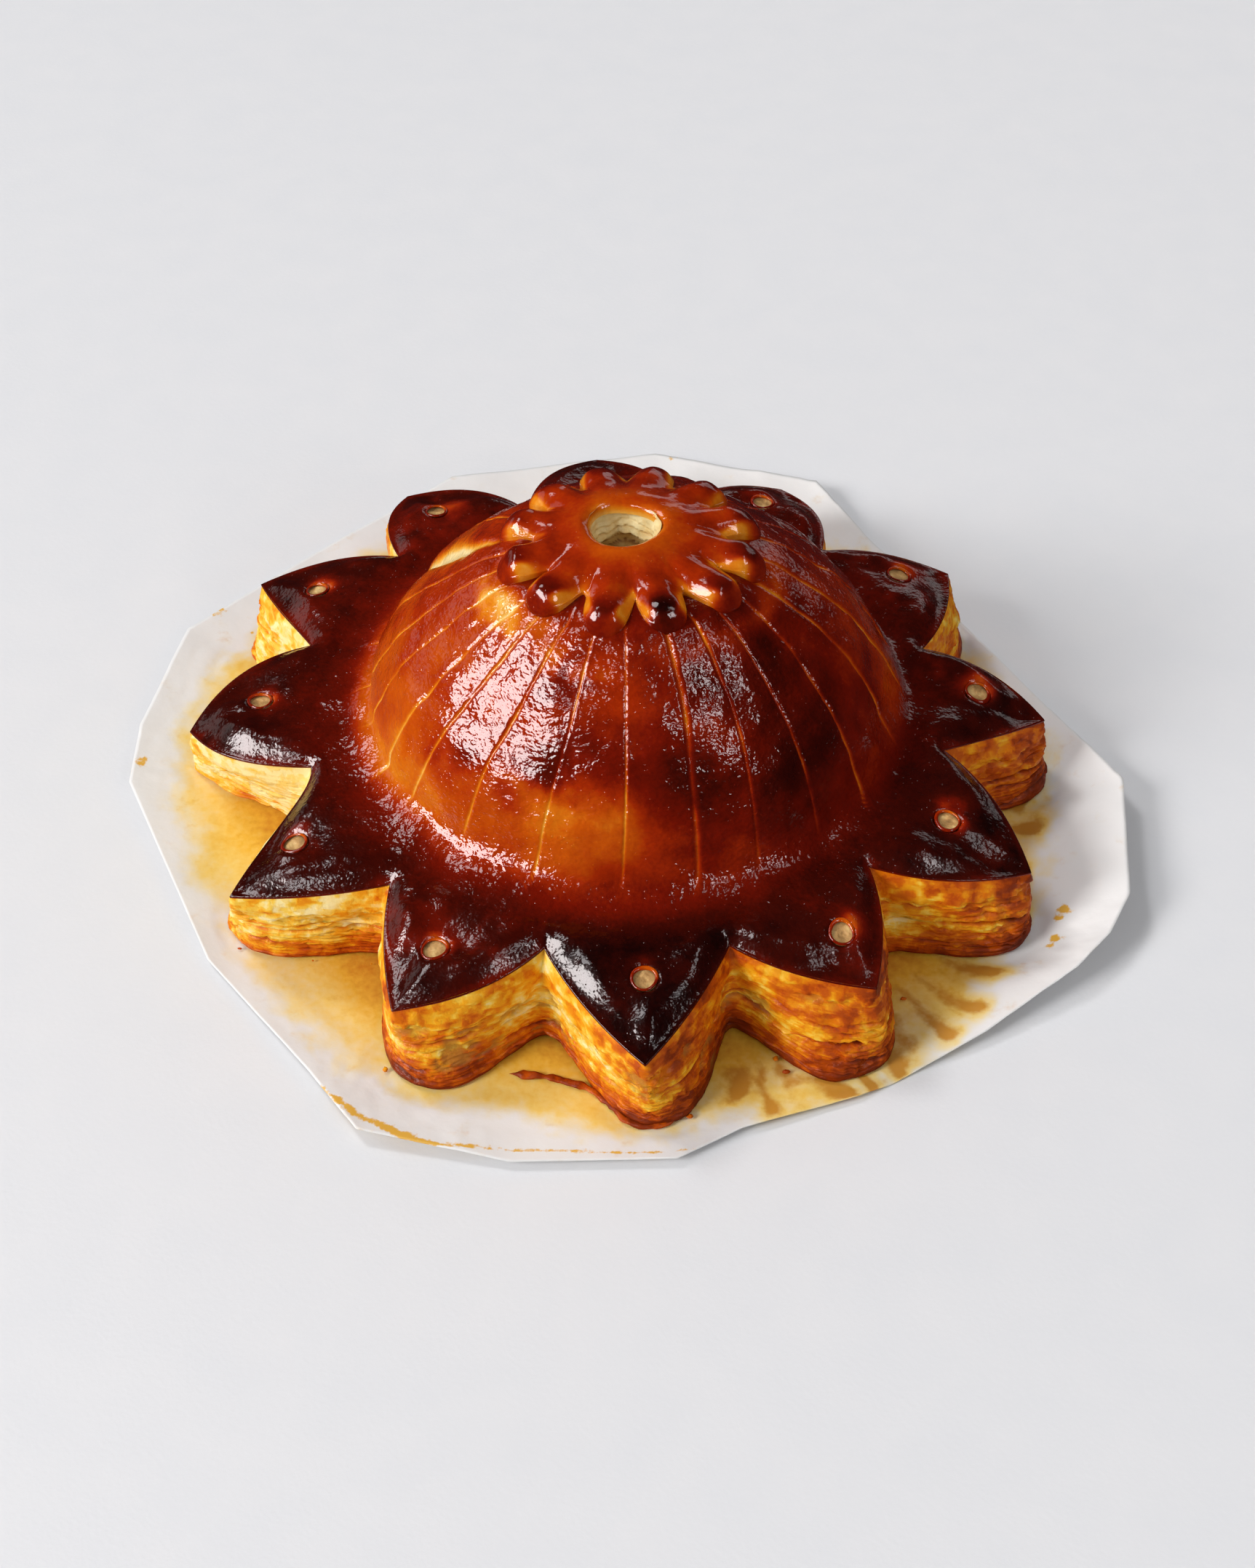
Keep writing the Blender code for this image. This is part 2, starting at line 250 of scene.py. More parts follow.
class Recipe:  # one material and its node tree
    def __init__(self, name, roughness, **constants):
        self.material = bpy.data.materials.new(name)
        self.material.use_nodes = True
        self.tree = self.material.node_tree
        self.shader = self.tree.nodes["Principled BSDF"]
        self.shader.inputs["Roughness"].default_value = roughness
        for socket, value in constants.items():
            self.shader.inputs[socket.replace("_", " ")].default_value = value
        self.place = self.node("ShaderNodeTexCoord", out="Object")

    def node(self, kind, settings=None, values=None, out=0):
        made = self.tree.nodes.new(kind)
        for key, value in (settings or {}).items():
            if key == "stops":
                self.setStops(made.color_ramp.elements, value)
            else:
                setattr(made, key, value)
        for key, value in (values or {}).items():
            if isinstance(value, Value):
                self.tree.links.new(value.socket, made.inputs[key])
            else:
                made.inputs[key].default_value = value
        return Value(self, made.outputs[out])

    def setStops(self, elements, stops):
        while len(elements) < len(stops):
            elements.new(0.5)
        for element, (position, colour) in zip(elements, stops):
            element.position = position
            element.color = (*colour, 1.0)

    def trait(self, name):
        return self.node("ShaderNodeAttribute", {"attribute_name": name}, out="Fac")

    def noise(self, scale, detail=3.0, vector=None, roughness=0.5):
        return self.node("ShaderNodeTexNoise", values={
            "Vector": vector or self.place, "Scale": scale, "Detail": detail, "Roughness": roughness})

    def cells(self, scale):  # distance from the nearest of scattered points
        return self.node("ShaderNodeTexVoronoi", {}, {"Vector": self.place, "Scale": scale}, "Distance")

    def squeezed(self, x, y, z):  # the place scaled, so that a pattern shrinks along an axis
        return self.node("ShaderNodeMapping", values={"Vector": self.place, "Scale": (x, y, z)})

    def ramp(self, value, stops):
        return self.node("ShaderNodeValToRGB", {"stops": stops}, {"Fac": value})

    def blend(self, amount, first, second):  # of two colours
        return self.node("ShaderNodeMix", {"data_type": "RGBA"}, {0: amount, 6: first, 7: second}, 2)

    def bumped(self, height, distance, strength):
        return self.node("ShaderNodeBump", values={
            "Height": height, "Distance": distance, "Strength": strength})

    def feed(self, **links):
        for socket, value in links.items():
            self.tree.links.new(value.socket, self.shader.inputs[socket.replace("_", " ")])
        return self.material


def outline(tips, notches, side):
    # (azimuth, reach), clockwise: from each tip to its notches the reach drops by side(u, bulge),
    # with u the way round, stepped closer together near the tip
    tips, notches = np.array(tips), np.array(notches)
    regular = star["firstPetal"] - petalStep * np.arange(petals)
    tipAzimuth = regular + tips[:, 1]
    notchAzimuth = regular - petalStep / 2 + notches[:, 1]
    before = np.roll(notchAzimuth, 1) + np.where(np.arange(petals) == 0, 360.0, 0.0)
    count = star["columns"]
    after = (np.arange(count) / count) ** 1.25
    parts = []
    for azimuth, drop, bulge, u in (
        (before, np.roll(notches[:, 0], 1), tips[:, 3], np.concatenate([[1.0], after[:0:-1]])),
        (notchAzimuth, notches[:, 0], tips[:, 2], after),
    ):
        turn = tipAzimuth[:, None] + (azimuth - tipAzimuth)[:, None] * u
        far = tips[:, :1] - (tips[:, :1] - drop[:, None]) * side(u, bulge[:, None])
        parts.append(np.stack([turn, far, np.broadcast_to(1.0 - u, turn.shape)], axis=-1))
    return np.concatenate(parts, axis=1).reshape(-1, 3).T


def sharpSide(u, bulge):
    return (1.0 - bulge) * u + bulge * u**3


def roundSide(u, bulge):
    return (u * u * (3.0 - 2.0 * u)) ** (1.0 + bulge)


edgeAzimuth, edgeReach, towardTip = outline(star["tips"], star["notches"], sharpSide)
footAzimuth, footReach, _ = outline(star["tipFeet"], star["notchFeet"], roundSide)
edgeHeight = star["notchHeight"] + (star["tipHeight"] - star["notchHeight"]) * towardTip ** star["crest"]
columnCount = len(edgeAzimuth)


def onPlan(azimuth, radius):
    angle = np.radians(azimuth)
    return radius * np.cos(angle), radius * np.sin(angle)


def outward(x, y):  # unit normals of closed clockwise rings in plan, along the last axis
    dx = np.roll(x, -1, -1) - np.roll(x, 1, -1)
    dy = np.roll(y, -1, -1) - np.roll(y, 1, -1)
    length = np.hypot(dx, dy) + 1e-9
    return -dy / length, dx / length


edgeX, edgeY = onPlan(edgeAzimuth, edgeReach)
edgeOutX, edgeOutY = outward(edgeX, edgeY)


def insideDepth(x, y):
    # soft distance to the cut edge: -soft ln(sum over the edge of e^(-apart / soft) step / (2 soft))
    soft = 1.1 * mm
    fine = np.linspace(0.0, 1.0, 4, endpoint=False)[:, None]
    lineX = (edgeX + (np.roll(edgeX, -1) - edgeX) * fine).T.ravel()
    lineY = (edgeY + (np.roll(edgeY, -1) - edgeY) * fine).T.ravel()
    step = np.hypot(np.roll(lineX, -1) - np.roll(lineX, 1), np.roll(lineY, -1) - np.roll(lineY, 1)) / 2.0
    depth = np.empty(x.shape)
    for row in range(len(x)):
        apart = np.hypot(x[row][:, None] - lineX, y[row][:, None] - lineY)
        least = apart.min(axis=1, keepdims=True)
        shares = (np.exp((least - apart) / soft) * step).sum(axis=1) / (2.0 * soft)
        depth[row] = least[:, 0] - soft * np.log(shares)
    return np.maximum(depth, 0.0)


crust = {
    "petalRows": 36, "ringRows": 12, "domeRows": 68,
    "puffMm": 4.2,  # how high a petal swells over its cut edge, and how far in it takes
    "puffRunMm": 6.2,
    "lumps": [(0.75, 0.12), (0.26, 0.045)],  # height in mm and size
    "lipMm": [(-0.30, -1.00), (0.10, -0.75), (0.22, -0.40), (0.15, -0.10)],  # out, up from the edge
    "eyeletReach": [0.820, 0.829, 0.830, 0.834, 0.842, 0.845, 0.840, 0.832, 0.829, 0.838, 0.815, 0.835],
    "eyeletTurn": [0.8, -0.5, -1.5, -3.6, -1.5, 0.5, 0.6, 1.0, 0.7, -0.4, -0.2, 1.3],
    "eyeletMm": 3.0, "dimpleMm": 1.5, "dimpleRunMm": 6.5,
    "collarMm": 0.55, "collarAtMm": 4.4, "collarRunMm": 1.5, "pitMm": 2.2,
    # how far the dome's middle has moved right and back, by radius
    "lean": [(0.00, 0.012, 0.014), (0.11, 0.012, 0.014), (0.25, 0.022, -0.020),
             (0.42, 0.030, -0.002), (0.60, 0.030, 0.020)],
    "dome": [(0.690, 0.256), (0.655, 0.265), (0.624, 0.288), (0.600, 0.330), (0.570, 0.398),
             (0.525, 0.473), (0.465, 0.541), (0.395, 0.609), (0.320, 0.671), (0.250, 0.713),
             (0.090, 0.745)],
    # scored lines, clockwise: azimuth at the crown and at the foot, width in mm, how open
    "scores": [(-71.9, -77.2, 0.75, 1.3), (-91.5, -91.8, 0.40, 0.8), (-106.3, -109.4, 0.40, 0.6),
               (-121.3, -127.2, 0.50, 1.0), (-135.6, -142.5, 0.60, 1.1), (-148.0, -154.0, 0.65, 1.2),
               (-162.2, -168.0, 0.50, 0.8), (-174.5, -179.0, 0.45, 0.7), (-184.0, -193.5, 0.5, 0.8),
               (-193.0, -211.0, 1.30, 1.0), (-212.0, -221.0, 0.50, 0.8), (-229.0, -236.0, 0.5, 1.0),
               (-245.0, -251.0, 0.5, 0.8), (-261.0, -267.0, 0.5, 1.0), (-277.0, -283.0, 0.6, 1.0),
               (-293.0, -299.0, 0.5, 0.8), (-309.0, -315.0, 0.5, 1.0), (-325.0, -330.0, 0.5, 0.9),
               (-341.0, -346.0, 0.6, 1.0), (-357.0, -362.0, 0.6, 1.1), (-373.5, -377.0, 0.7, 1.1),
               (-386.9, -395.0, 0.6, 1.0), (-402.8, -409.0, 0.55, 1.0), (-416.5, -424.0, 0.5, 0.8)],
    "scoreMm": 0.34,
    "slash": {"line": 9, "radius": 0.47, "run": 0.10, "widthMm": 2.4, "depthMm": 1.6},
    # the leaning crease at the left of the dome's foot
    "crease": {"azimuth": -168.0, "turn": 34.0, "radius": 0.612, "run": 0.010, "depthMm": 1.7},
    # browning, 0 raw and 1 black: the petals', the ring's, the dome's, and up the lip
    "petalTone": 0.865, "ringTone": 0.82, "domeTone": 0.70, "lipTones": [0.62, 0.68, 0.76, 0.84],
    "petalBake": [0.09, -0.02, 0.02, -0.01, -0.03, -0.06, -0.03, -0.02, -0.03, 0.0, 0.03, 0.0],
    # the paler glow behind each hole: its width there, and its place, run and depth for all
    "glow": [1.1, 1.0, 1.0, 1.0, 1.2, 1.6, 1.0, 1.0, 1.3, 1.6, 1.7, 1.2],
    "glowShiftMm": (1.2, 1.9), "glowAtMm": 1.6, "glowRunMm": 2.3, "glowTone": 0.38,
    "scoredTone": 0.35, "slashTone": 0.50, "creaseTone": 0.16,
    # paler and darker places on the dome: azimuth, radius, turn and run of each, and its amount. The
    # paler ones on the left side (-140 to -200 and 150) are browning and also painted sheen of the key
    # light
    "patches": [
        (-104.0, 0.570, 13.0, 0.050, -0.24), (-111.0, 0.540, 9.0, 0.030, -0.14),
        (-150.0, 0.500, 20.0, 0.20, -0.07), (-172.0, 0.640, 24.0, 0.035, -0.17),
        (-143.0, 0.605, 16.0, 0.040, -0.12), (-108.0, 0.455, 9.0, 0.06, 0.10),
        (-132.0, 0.585, 26.0, 0.045, -0.14), (-160.0, 0.580, 20.0, 0.060, -0.07),
        (0.0, 0.62, 40.0, 0.04, -0.10), (-62.0, 0.430, 30.0, 0.14, 0.07),
        (-34.0, 0.420, 26.0, 0.16, 0.12), (-94.0, 0.42, 14.0, 0.12, -0.05),
        (-122.0, 0.40, 16.0, 0.11, 0.05), (8.0, 0.52, 30.0, 0.14, -0.06),
        (-200.0, 0.42, 34.0, 0.16, -0.06), (-72.0, 0.610, 22.0, 0.030, -0.05),
        (-45.0, 0.640, 30.0, 0.035, 0.03), (-155.0, 0.312, 8.0, 0.030, -0.42),
        (-167.0, 0.315, 6.0, 0.026, -0.32), (-144.0, 0.318, 5.0, 0.022, -0.26),
        (-122.0, 0.322, 6.0, 0.022, -0.26), (-106.0, 0.335, 4.0, 0.022, -0.20),
        (-60.0, 0.310, 20.0, 0.030, -0.14), (-176.0, 0.45, 16.0, 0.16, -0.04),
        (-150.0, 0.28, 40.0, 0.03, -0.16), (-20.0, 0.32, 20.0, 0.03, -0.16),
        (-175.0, 0.50, 30.0, 0.12, -0.03), (150.0, 0.45, 30.0, 0.2, -0.06),
        (-140.0, 0.40, 18.0, 0.10, -0.08), (-62.0, 0.50, 14.0, 0.05, -0.05),
        (-98.0, 0.485, 17.0, 0.045, 0.11), (-66.0, 0.53, 22.0, 0.045, 0.06)],
}


def domeLean(radius):  # how far the dome's middle has moved at a radius
    at, right, back = np.array(crust["lean"]).T
    return np.interp(radius, at, right), np.interp(radius, at, back)


def scoreAzimuth(radius):
    # each scored line's azimuth by radius, from its crown to its foot
    lines = np.array(crust["scores"])
    down = np.clip((radius - 0.25) / 0.38, 0, 1)[:, None]
    wobble = 0.25 * np.sin(radius[:, None] * 23.0 + 2.1 * np.arange(len(lines)))
    return lines[:, 0] + (lines[:, 1] - lines[:, 0]) * down + wobble * smooth(0.3, 0.4, radius)[:, None]


def crustRows():
    # azimuth, radius, height and shift of every row, from the lip under the cut edge to the crown
    t = (np.arange(crust["petalRows"]) / (crust["petalRows"] - 1.0)) ** 1.15
    radius = edgeReach - t[:, None] * (edgeReach - star["ringReach"])
    height = edgeHeight + smooth(0.0, 1.0, t)[:, None] * (star["ringHeight"] - edgeHeight)
    azimuth = np.broadcast_to(edgeAzimuth, radius.shape)
    profile = softenedPath(crust["dome"], crust["ringRows"] + crust["domeRows"], 0.030)[1:]
    ring = np.clip((star["ringReach"] - profile[:, 0]) / (star["ringReach"] - 0.606), 0.0, 1.0)
    ring = ring * ring * (3.0 - 2.0 * ring)

    # dome columns crowd round the scored lines: w(g) = (2g)^p / 2 on each side
    lines = scoreAzimuth(profile[:, 0])
    after = np.concatenate([lines[:, 1:], lines[:, :1] - 360.0], axis=1)
    g = np.arange(star["columns"]) / star["columns"]
    w = np.where(g < 0.5, 0.5 * (2.0 * g) ** 1.7, 1.0 - 0.5 * (2.0 * (1.0 - g)) ** 1.7)
    scored = (lines[:, :, None] + (after - lines)[:, :, None] * w).reshape(len(profile), -1)
    domeAzimuth = edgeAzimuth + (scored - edgeAzimuth) * ring[:, None]
    radius = np.concatenate([radius, np.broadcast_to(profile[:, :1], scored.shape)])
    height = np.concatenate([height, np.broadcast_to(profile[:, 1:2], scored.shape)])
    azimuth = np.concatenate([azimuth, domeAzimuth])
    shift = np.concatenate([np.zeros(len(t)), ring])[:, None]
    level = np.concatenate([t, 1.0 + np.arange(1, len(profile) + 1)])[:, None] + 0.0 * radius
    return azimuth, radius, height, shift, level


def eyeletCentres():
    azimuth = star["firstPetal"] - petalStep * np.arange(petals) + np.array(crust["eyeletTurn"])
    return onPlan(azimuth, np.array(crust["eyeletReach"]))


def makeCrust():
    azimuth, radius, height, shift, level = crustRows()
    x, y = onPlan(azimuth, radius)
    leanX, leanY = domeLean(radius)
    x, y = x + shift * leanX, y + shift * leanY
    depth = np.full(x.shape, 1.0)
    nearEdge = crust["petalRows"] + 4
    depth[:nearEdge] = insideDepth(x[:nearEdge], y[:nearEdge])
    plan = np.stack([x, y, height], axis=-1)
    flat = plan * [1, 1, 0]

    # petals: swell over the cut edge by puff sin(quarter turn x depth / run), fading toward the ring
    t = np.clip(level, 0.0, 1.0)
    run = crust["puffRunMm"] * mm * (1.0 + 0.25 * mottle(flat, 0.15, 4))
    puff = crust["puffMm"] * mm * np.sin(0.5 * np.pi * np.clip(depth / run, 0.0, 1.0))
    petal = 1.0 - 0.72 * smooth(0.15, 1.0, t)
    petal = petal - 0.28 * smooth(0.9, 1.6, t + 6.0 * np.clip(star["ringReach"] - radius, 0, 1))
    eyeX, eyeY = eyeletCentres()
    eyes = (x[..., None] - eyeX) ** 2 + (y[..., None] - eyeY) ** 2
    nearestEye = eyes.argmin(axis=-1)
    turned = around(azimuth, np.degrees(np.arctan2(eyeY, eyeX))[nearestEye])
    flank = 1.0 + 0.30 * mottle(flat, 0.12, 3) - 0.30 * smooth(0.85, 0.97, radius)
    flank = flank - 0.66 * smooth(0.79, 0.90, radius) * smooth(1.0, -3.0, turned)
    height = height + puff * petal * flank
    lumps = sum(tall * mottle(plan, size, 5 + i) for i, (tall, size) in enumerate(crust["lumps"]))
    height = height + mm * lumps * smooth(0.0, 5 * mm, depth)

    # pricked holes: a wide dimple with a low collar, then a steep round pit
    apart = np.sqrt(eyes.min(axis=-1)) / mm
    height = height - crust["dimpleMm"] * mm * bell(apart, crust["dimpleRunMm"])
    height = height + crust["collarMm"] * mm * bell(apart - crust["collarAtMm"], crust["collarRunMm"])
    pit = 1.0 - smooth(crust["eyeletMm"] - 0.5, crust["eyeletMm"] + 0.25, apart)
    height = height - crust["pitMm"] * mm * pit

    # dome: scored grooves with raised sides, dist / width from each line; the slash is wider
    domeX, domeY = x - shift * leanX, y - shift * leanY
    domeAz = np.degrees(np.arctan2(domeY, domeX))
    domeR = np.hypot(domeX, domeY)
    lines = scoreAzimuth(np.clip(domeR[:, 0], 0.0, 0.7))
    across = around(domeAz[:, :, None], lines[:, None, :])
    nearest = np.abs(across).argmin(axis=-1)
    dist = np.take_along_axis(across, nearest[..., None], -1)[..., 0] * np.radians(1.0) * domeR / mm
    traits = np.array(crust["scores"])[nearest]
    ends = smooth(0.20, 0.27, domeR) * (1.0 - smooth(0.585, 0.66, domeR + 0.02 * np.sin(nearest * 2.3)))
    ends = ends * np.clip(0.85 + 0.5 * mottle(plan, 0.09, 71), 0.15, 1.3)
    width = 0.9 * traits[..., 2]
    slash = crust["slash"]
    slashed = (nearest == slash["line"]) * bell(domeR - slash["radius"], slash["run"])
    width = width + slash["widthMm"] * slashed
    groove = bell(dist, width) * ends * traits[..., 3]
    lip = bell(np.abs(dist) - 1.9 * width, 0.8 * width) * ends
    sink = crust["scoreMm"] * groove + slash["depthMm"] * slashed * bell(dist, width) - 0.05 * lip

    # the crease, and unevenness in three sizes with fine wrinkles along the slope
    crease = crust["crease"]
    left = bell(around(domeAz, crease["azimuth"]), crease["turn"])
    fold = crease["depthMm"] * left * bell(domeR - crease["radius"], crease["run"])
    wave = mottle(plan, 0.16, 21) * 0.55 + mottle(plan, 0.045, 22) * 0.16
    wave = wave + mottle(plan, 0.075, 85) * 0.26
    wrinkle = mottle(plan * [1.0, 1.0, 2.2], 0.018, 23) * 0.085
    dome = smooth(0.0, 1.0, shift + 0.0 * x)
    push = (wave + wrinkle - sink - fold) * dome * mm

    # push along the profile's own slope
    slopeR = np.gradient(domeR[:, 0])
    slopeZ = np.gradient(height[:, 0])
    length = np.hypot(slopeR, slopeZ) + 1e-9
    upR, upZ = (slopeZ / length)[:, None], (-slopeR / length)[:, None]
    upR, upZ = np.where(dome > 0, upR, 0.0), np.where(dome > 0, upZ, 1.0)
    x = x + push * upR * np.cos(np.radians(domeAz))
    y = y + push * upR * np.sin(np.radians(domeAz))
    height = height + push * upZ

    # how far each place has browned, with some painted light and shade: petals, with a glow behind each
    # hole, then ring, then dome
    petalBake = crust["petalTone"] + np.array(crust["petalBake"])[nearestEye]
    petalBake = petalBake + 0.06 * smooth(0.78, 1.0, np.hypot(x, y))
    petalBake = petalBake + 0.055 * mottle(plan, 0.10, 31) + 0.03 * mottle(plan, 0.03, 30)
    shiftX, shiftY = crust["glowShiftMm"]
    glowX, glowY = x - eyeX[nearestEye] - shiftX * mm, y - eyeY[nearestEye] - shiftY * mm
    glowRun = crust["glowRunMm"] * np.array(crust["glow"])[nearestEye]
    glow = bell(np.hypot(glowX, glowY) / mm - crust["glowAtMm"], glowRun)
    glow = glow * np.clip(0.7 + 0.6 * mottle(plan, 0.05, 32), 0.1, 1.2)
    petalBake = petalBake - crust["glowTone"] * glow
    petalBake = petalBake - 0.05 * (mottle(plan, 0.12, 33) > 0.25) * mottle(plan, 0.03, 34)
    petalBake = petalBake - 0.06 * bell(depth, 0.9 * mm)
    ringBakeAndShade = crust["ringTone"] - 0.14 * smooth(0.70, 0.60, domeR) + 0.05 * mottle(plan, 0.12, 35)
    # painted shade: darker at the ring's front right, away from the key light, where it mirrors the dark
    # dome
    ringBakeAndShade = ringBakeAndShade + 0.05 * bell(around(domeAz, -50.0), 22.0)
    bake = petalBake + (ringBakeAndShade - petalBake) * smooth(0.76, 0.65, domeR)
    domeBakeAndSheen = crust["domeTone"] + 0.10 * mottle(plan, 0.20, 41, 3)
    domeBakeAndSheen = domeBakeAndSheen + 0.04 * mottle(plan, 0.08, 44) + 0.03 * mottle(plan, 0.035, 42)
    patchAz = domeAz + 6.0 * mottle(plan, 0.08, 86, 4)  # ragged edges for the patches
    patchR = domeR + 0.024 * mottle(plan, 0.07, 87, 4)
    # the paler patches on the dome's left side are browning and also painted sheen of the key light
    for azimuthAt, radiusAt, turn, run, amount in crust["patches"]:
        patch = bell(around(patchAz, azimuthAt), turn) * bell(patchR - radiusAt, run)
        domeBakeAndSheen = domeBakeAndSheen + amount * patch
    bake = bake + (domeBakeAndSheen - bake) * smooth(0.66, 0.58, domeR) * (shift > 0)
    scored = bell(dist, 0.9 * width) * ends * dome * (0.75 + 0.35 * mottle(plan, 0.05, 43))
    bake = bake - crust["scoredTone"] * scored
    bake = bake - crust["slashTone"] * slashed * bell(dist, width) * dome
    creased = left * bell(domeR - crease["radius"], 2.0 * crease["run"])
    bake = bake - crust["creaseTone"] * creased * dome

    # the lip rolls over the cut edge and back under it
    lip = np.array(crust["lipMm"]) * mm
    lipX = edgeX + edgeOutX * lip[:, :1]
    lipY = edgeY + edgeOutY * lip[:, :1]
    lipZ = height[0] + lip[:, 1:]
    x, y = np.concatenate([lipX, x]), np.concatenate([lipY, y])
    height = np.concatenate([lipZ, height])
    lipBake = np.array(crust["lipTones"])[:, None] + 0.0 * lipZ
    bake = np.concatenate([lipBake, bake])
    # how coarsely the glaze has wrinkled
    leather = np.concatenate([0.0 * lipZ, smooth(0.80, 0.62, domeR)])
    piece = newMesh("glazedCrust", place(x, y, height), gridFaces(len(x), columnCount), {
        "bake": np.clip(bake, 0.02, 0.995), "leather": leather}, flip=True)
    print("glazed crust:", len(piece.data.polygons), "faces")
    return piece


browning = [  # glazed crust, raw to black
    (0.00, (0.83, 0.66, 0.33)), (0.15, (0.80, 0.43, 0.075)), (0.30, (0.68, 0.21, 0.008)),
    (0.45, (0.52, 0.080, 0.0018)), (0.60, (0.34, 0.022, 0.0012)), (0.72, (0.16, 0.0062, 0.0010)),
    (0.86, (0.048, 0.0028, 0.0008)), (1.00, (0.010, 0.0010, 0.0006)),
]


def glazeMaterial(name, roughness, wrinkleMm):
    # colour: the browning ramp at bake plus fine mottling, paler at tiny blisters, partly their own
    # paler glaze and partly painted glints
    # height: low ruffles, leathery wrinkles and sharp little blisters
    glaze = Recipe(name, roughness, IOR=1.36)
    bake = glaze.trait("bake")
    fine = glaze.noise(900.0, 4.0)
    broad = glaze.noise(120.0, 3.0)
    dots = glaze.cells(760.0)
    choice = glaze.noise(260.0, 1.0)
    blister = dots.rise(0.20, 0.06) * choice.rise(0.46, 0.62)
    # the paler blisters are partly painted glints
    tone = bake + (fine - 0.5) * 0.10 + (broad - 0.5) * 0.10 - blister * 0.10
    colour = glaze.ramp(tone, browning)
    ruffles = glaze.noise(210.0, 1.0)
    wrinkles = glaze.noise(620.0, 1.5, glaze.squeezed(1.0, 1.0, 1.6))
    grain = glaze.noise(900.0, 1.0)
    leather = glaze.trait("leather")
    skin = ruffles * (0.5 + leather * 1.3) + wrinkles * (0.35 + leather * 1.1)
    skin = skin + grain * 0.75 + blister * (0.9 - leather * 0.4)
    rough = glaze.noise(90.0, 2.0).rise(0.3, 0.7, roughness - 0.02, roughness + 0.03)
    rough = rough - leather * 0.055
    bumps = glaze.bumped(skin, wrinkleMm / 1000.0, 1.0)
    return glaze.feed(Base_Color=colour, Normal=bumps, Roughness=rough)


sides = {
    "rows": 88,
    # part of the way from the lowest layer's outline to the cut edge's, swell and height
    "wall": [(0.0, 0.0, 0.0), (0.4, 0.006, 0.45), (0.9, 0.003, 0.80), (1.0, 0.0, 1.0)],
    "roundColumns": 5, "roundSpread": 3.0,
    "gap": 0.40,  # how far up the two sheets of pastry part
    # smaller partings: how far up, depth in mm, seed
    "slots": [(0.11, 0.9, 150), (0.20, 1.0, 151), (0.29, 0.7, 152), (0.52, 0.8, 153), (0.62, 0.5, 154)],
    "hem": 0.66,  # how far up the blistered skin under the glaze ends
    "leafMm": 1.9, "sheetMm": 0.95,
    "tone": 0.285,
    # paler and darker sides: azimuth, turn, amount; paler on the left sides that face the key light and
    # darker on the front petal's right side, partly browning and partly painted light and shade
    "tones": [(-168.0, 26.0, -0.33), (-208.0, 16.0, -0.13), (-95.0, 7.0, -0.10),
              (-78.0, 9.0, 0.19), (-132.0, 6.0, 0.05)],
    "skinTones": [(-117.0, 16.0, 0.07), (-57.0, 14.0, 0.07)],
    "rightBakeAndShade": 0.12,  # how much further the right front side has baked, with painted shade on that side, away from the key light
}


def wallBase(k):
    # outline at height k, 0 at the paper and 1 at the cut edge: the foot's outline moved part of the
    # way to the edge's, with its corners rounded by a moving average below the edge
    part, swell, up = np.array(sides["wall"]).T
    share = np.interp(k, up, part)[:, None]
    more = np.interp(k, up, swell)[:, None]
    azimuth = footAzimuth + share * (edgeAzimuth - footAzimuth)
    radius = footReach + share * (edgeReach - footReach) + more
    x, y = onPlan(azimuth, radius)
    steps = np.arange(-sides["roundColumns"], sides["roundColumns"] + 1)
    window = bell(steps, sides["roundSpread"])
    window /= window.sum()
    rounded = smooth(1.0, 0.80, k)[:, None]
    for grid in (x, y):
        soft = sum(weight * np.roll(grid, step, axis=1) for step, weight in zip(steps, window))
        grid += (soft - grid) * rounded
    return x, y


def azimuthTones(tones):  # the sum of amount x bell(degrees from the azimuth, turn)
    return sum(amount * bell(around(footAzimuth, at), turn) for at, turn, amount in tones)


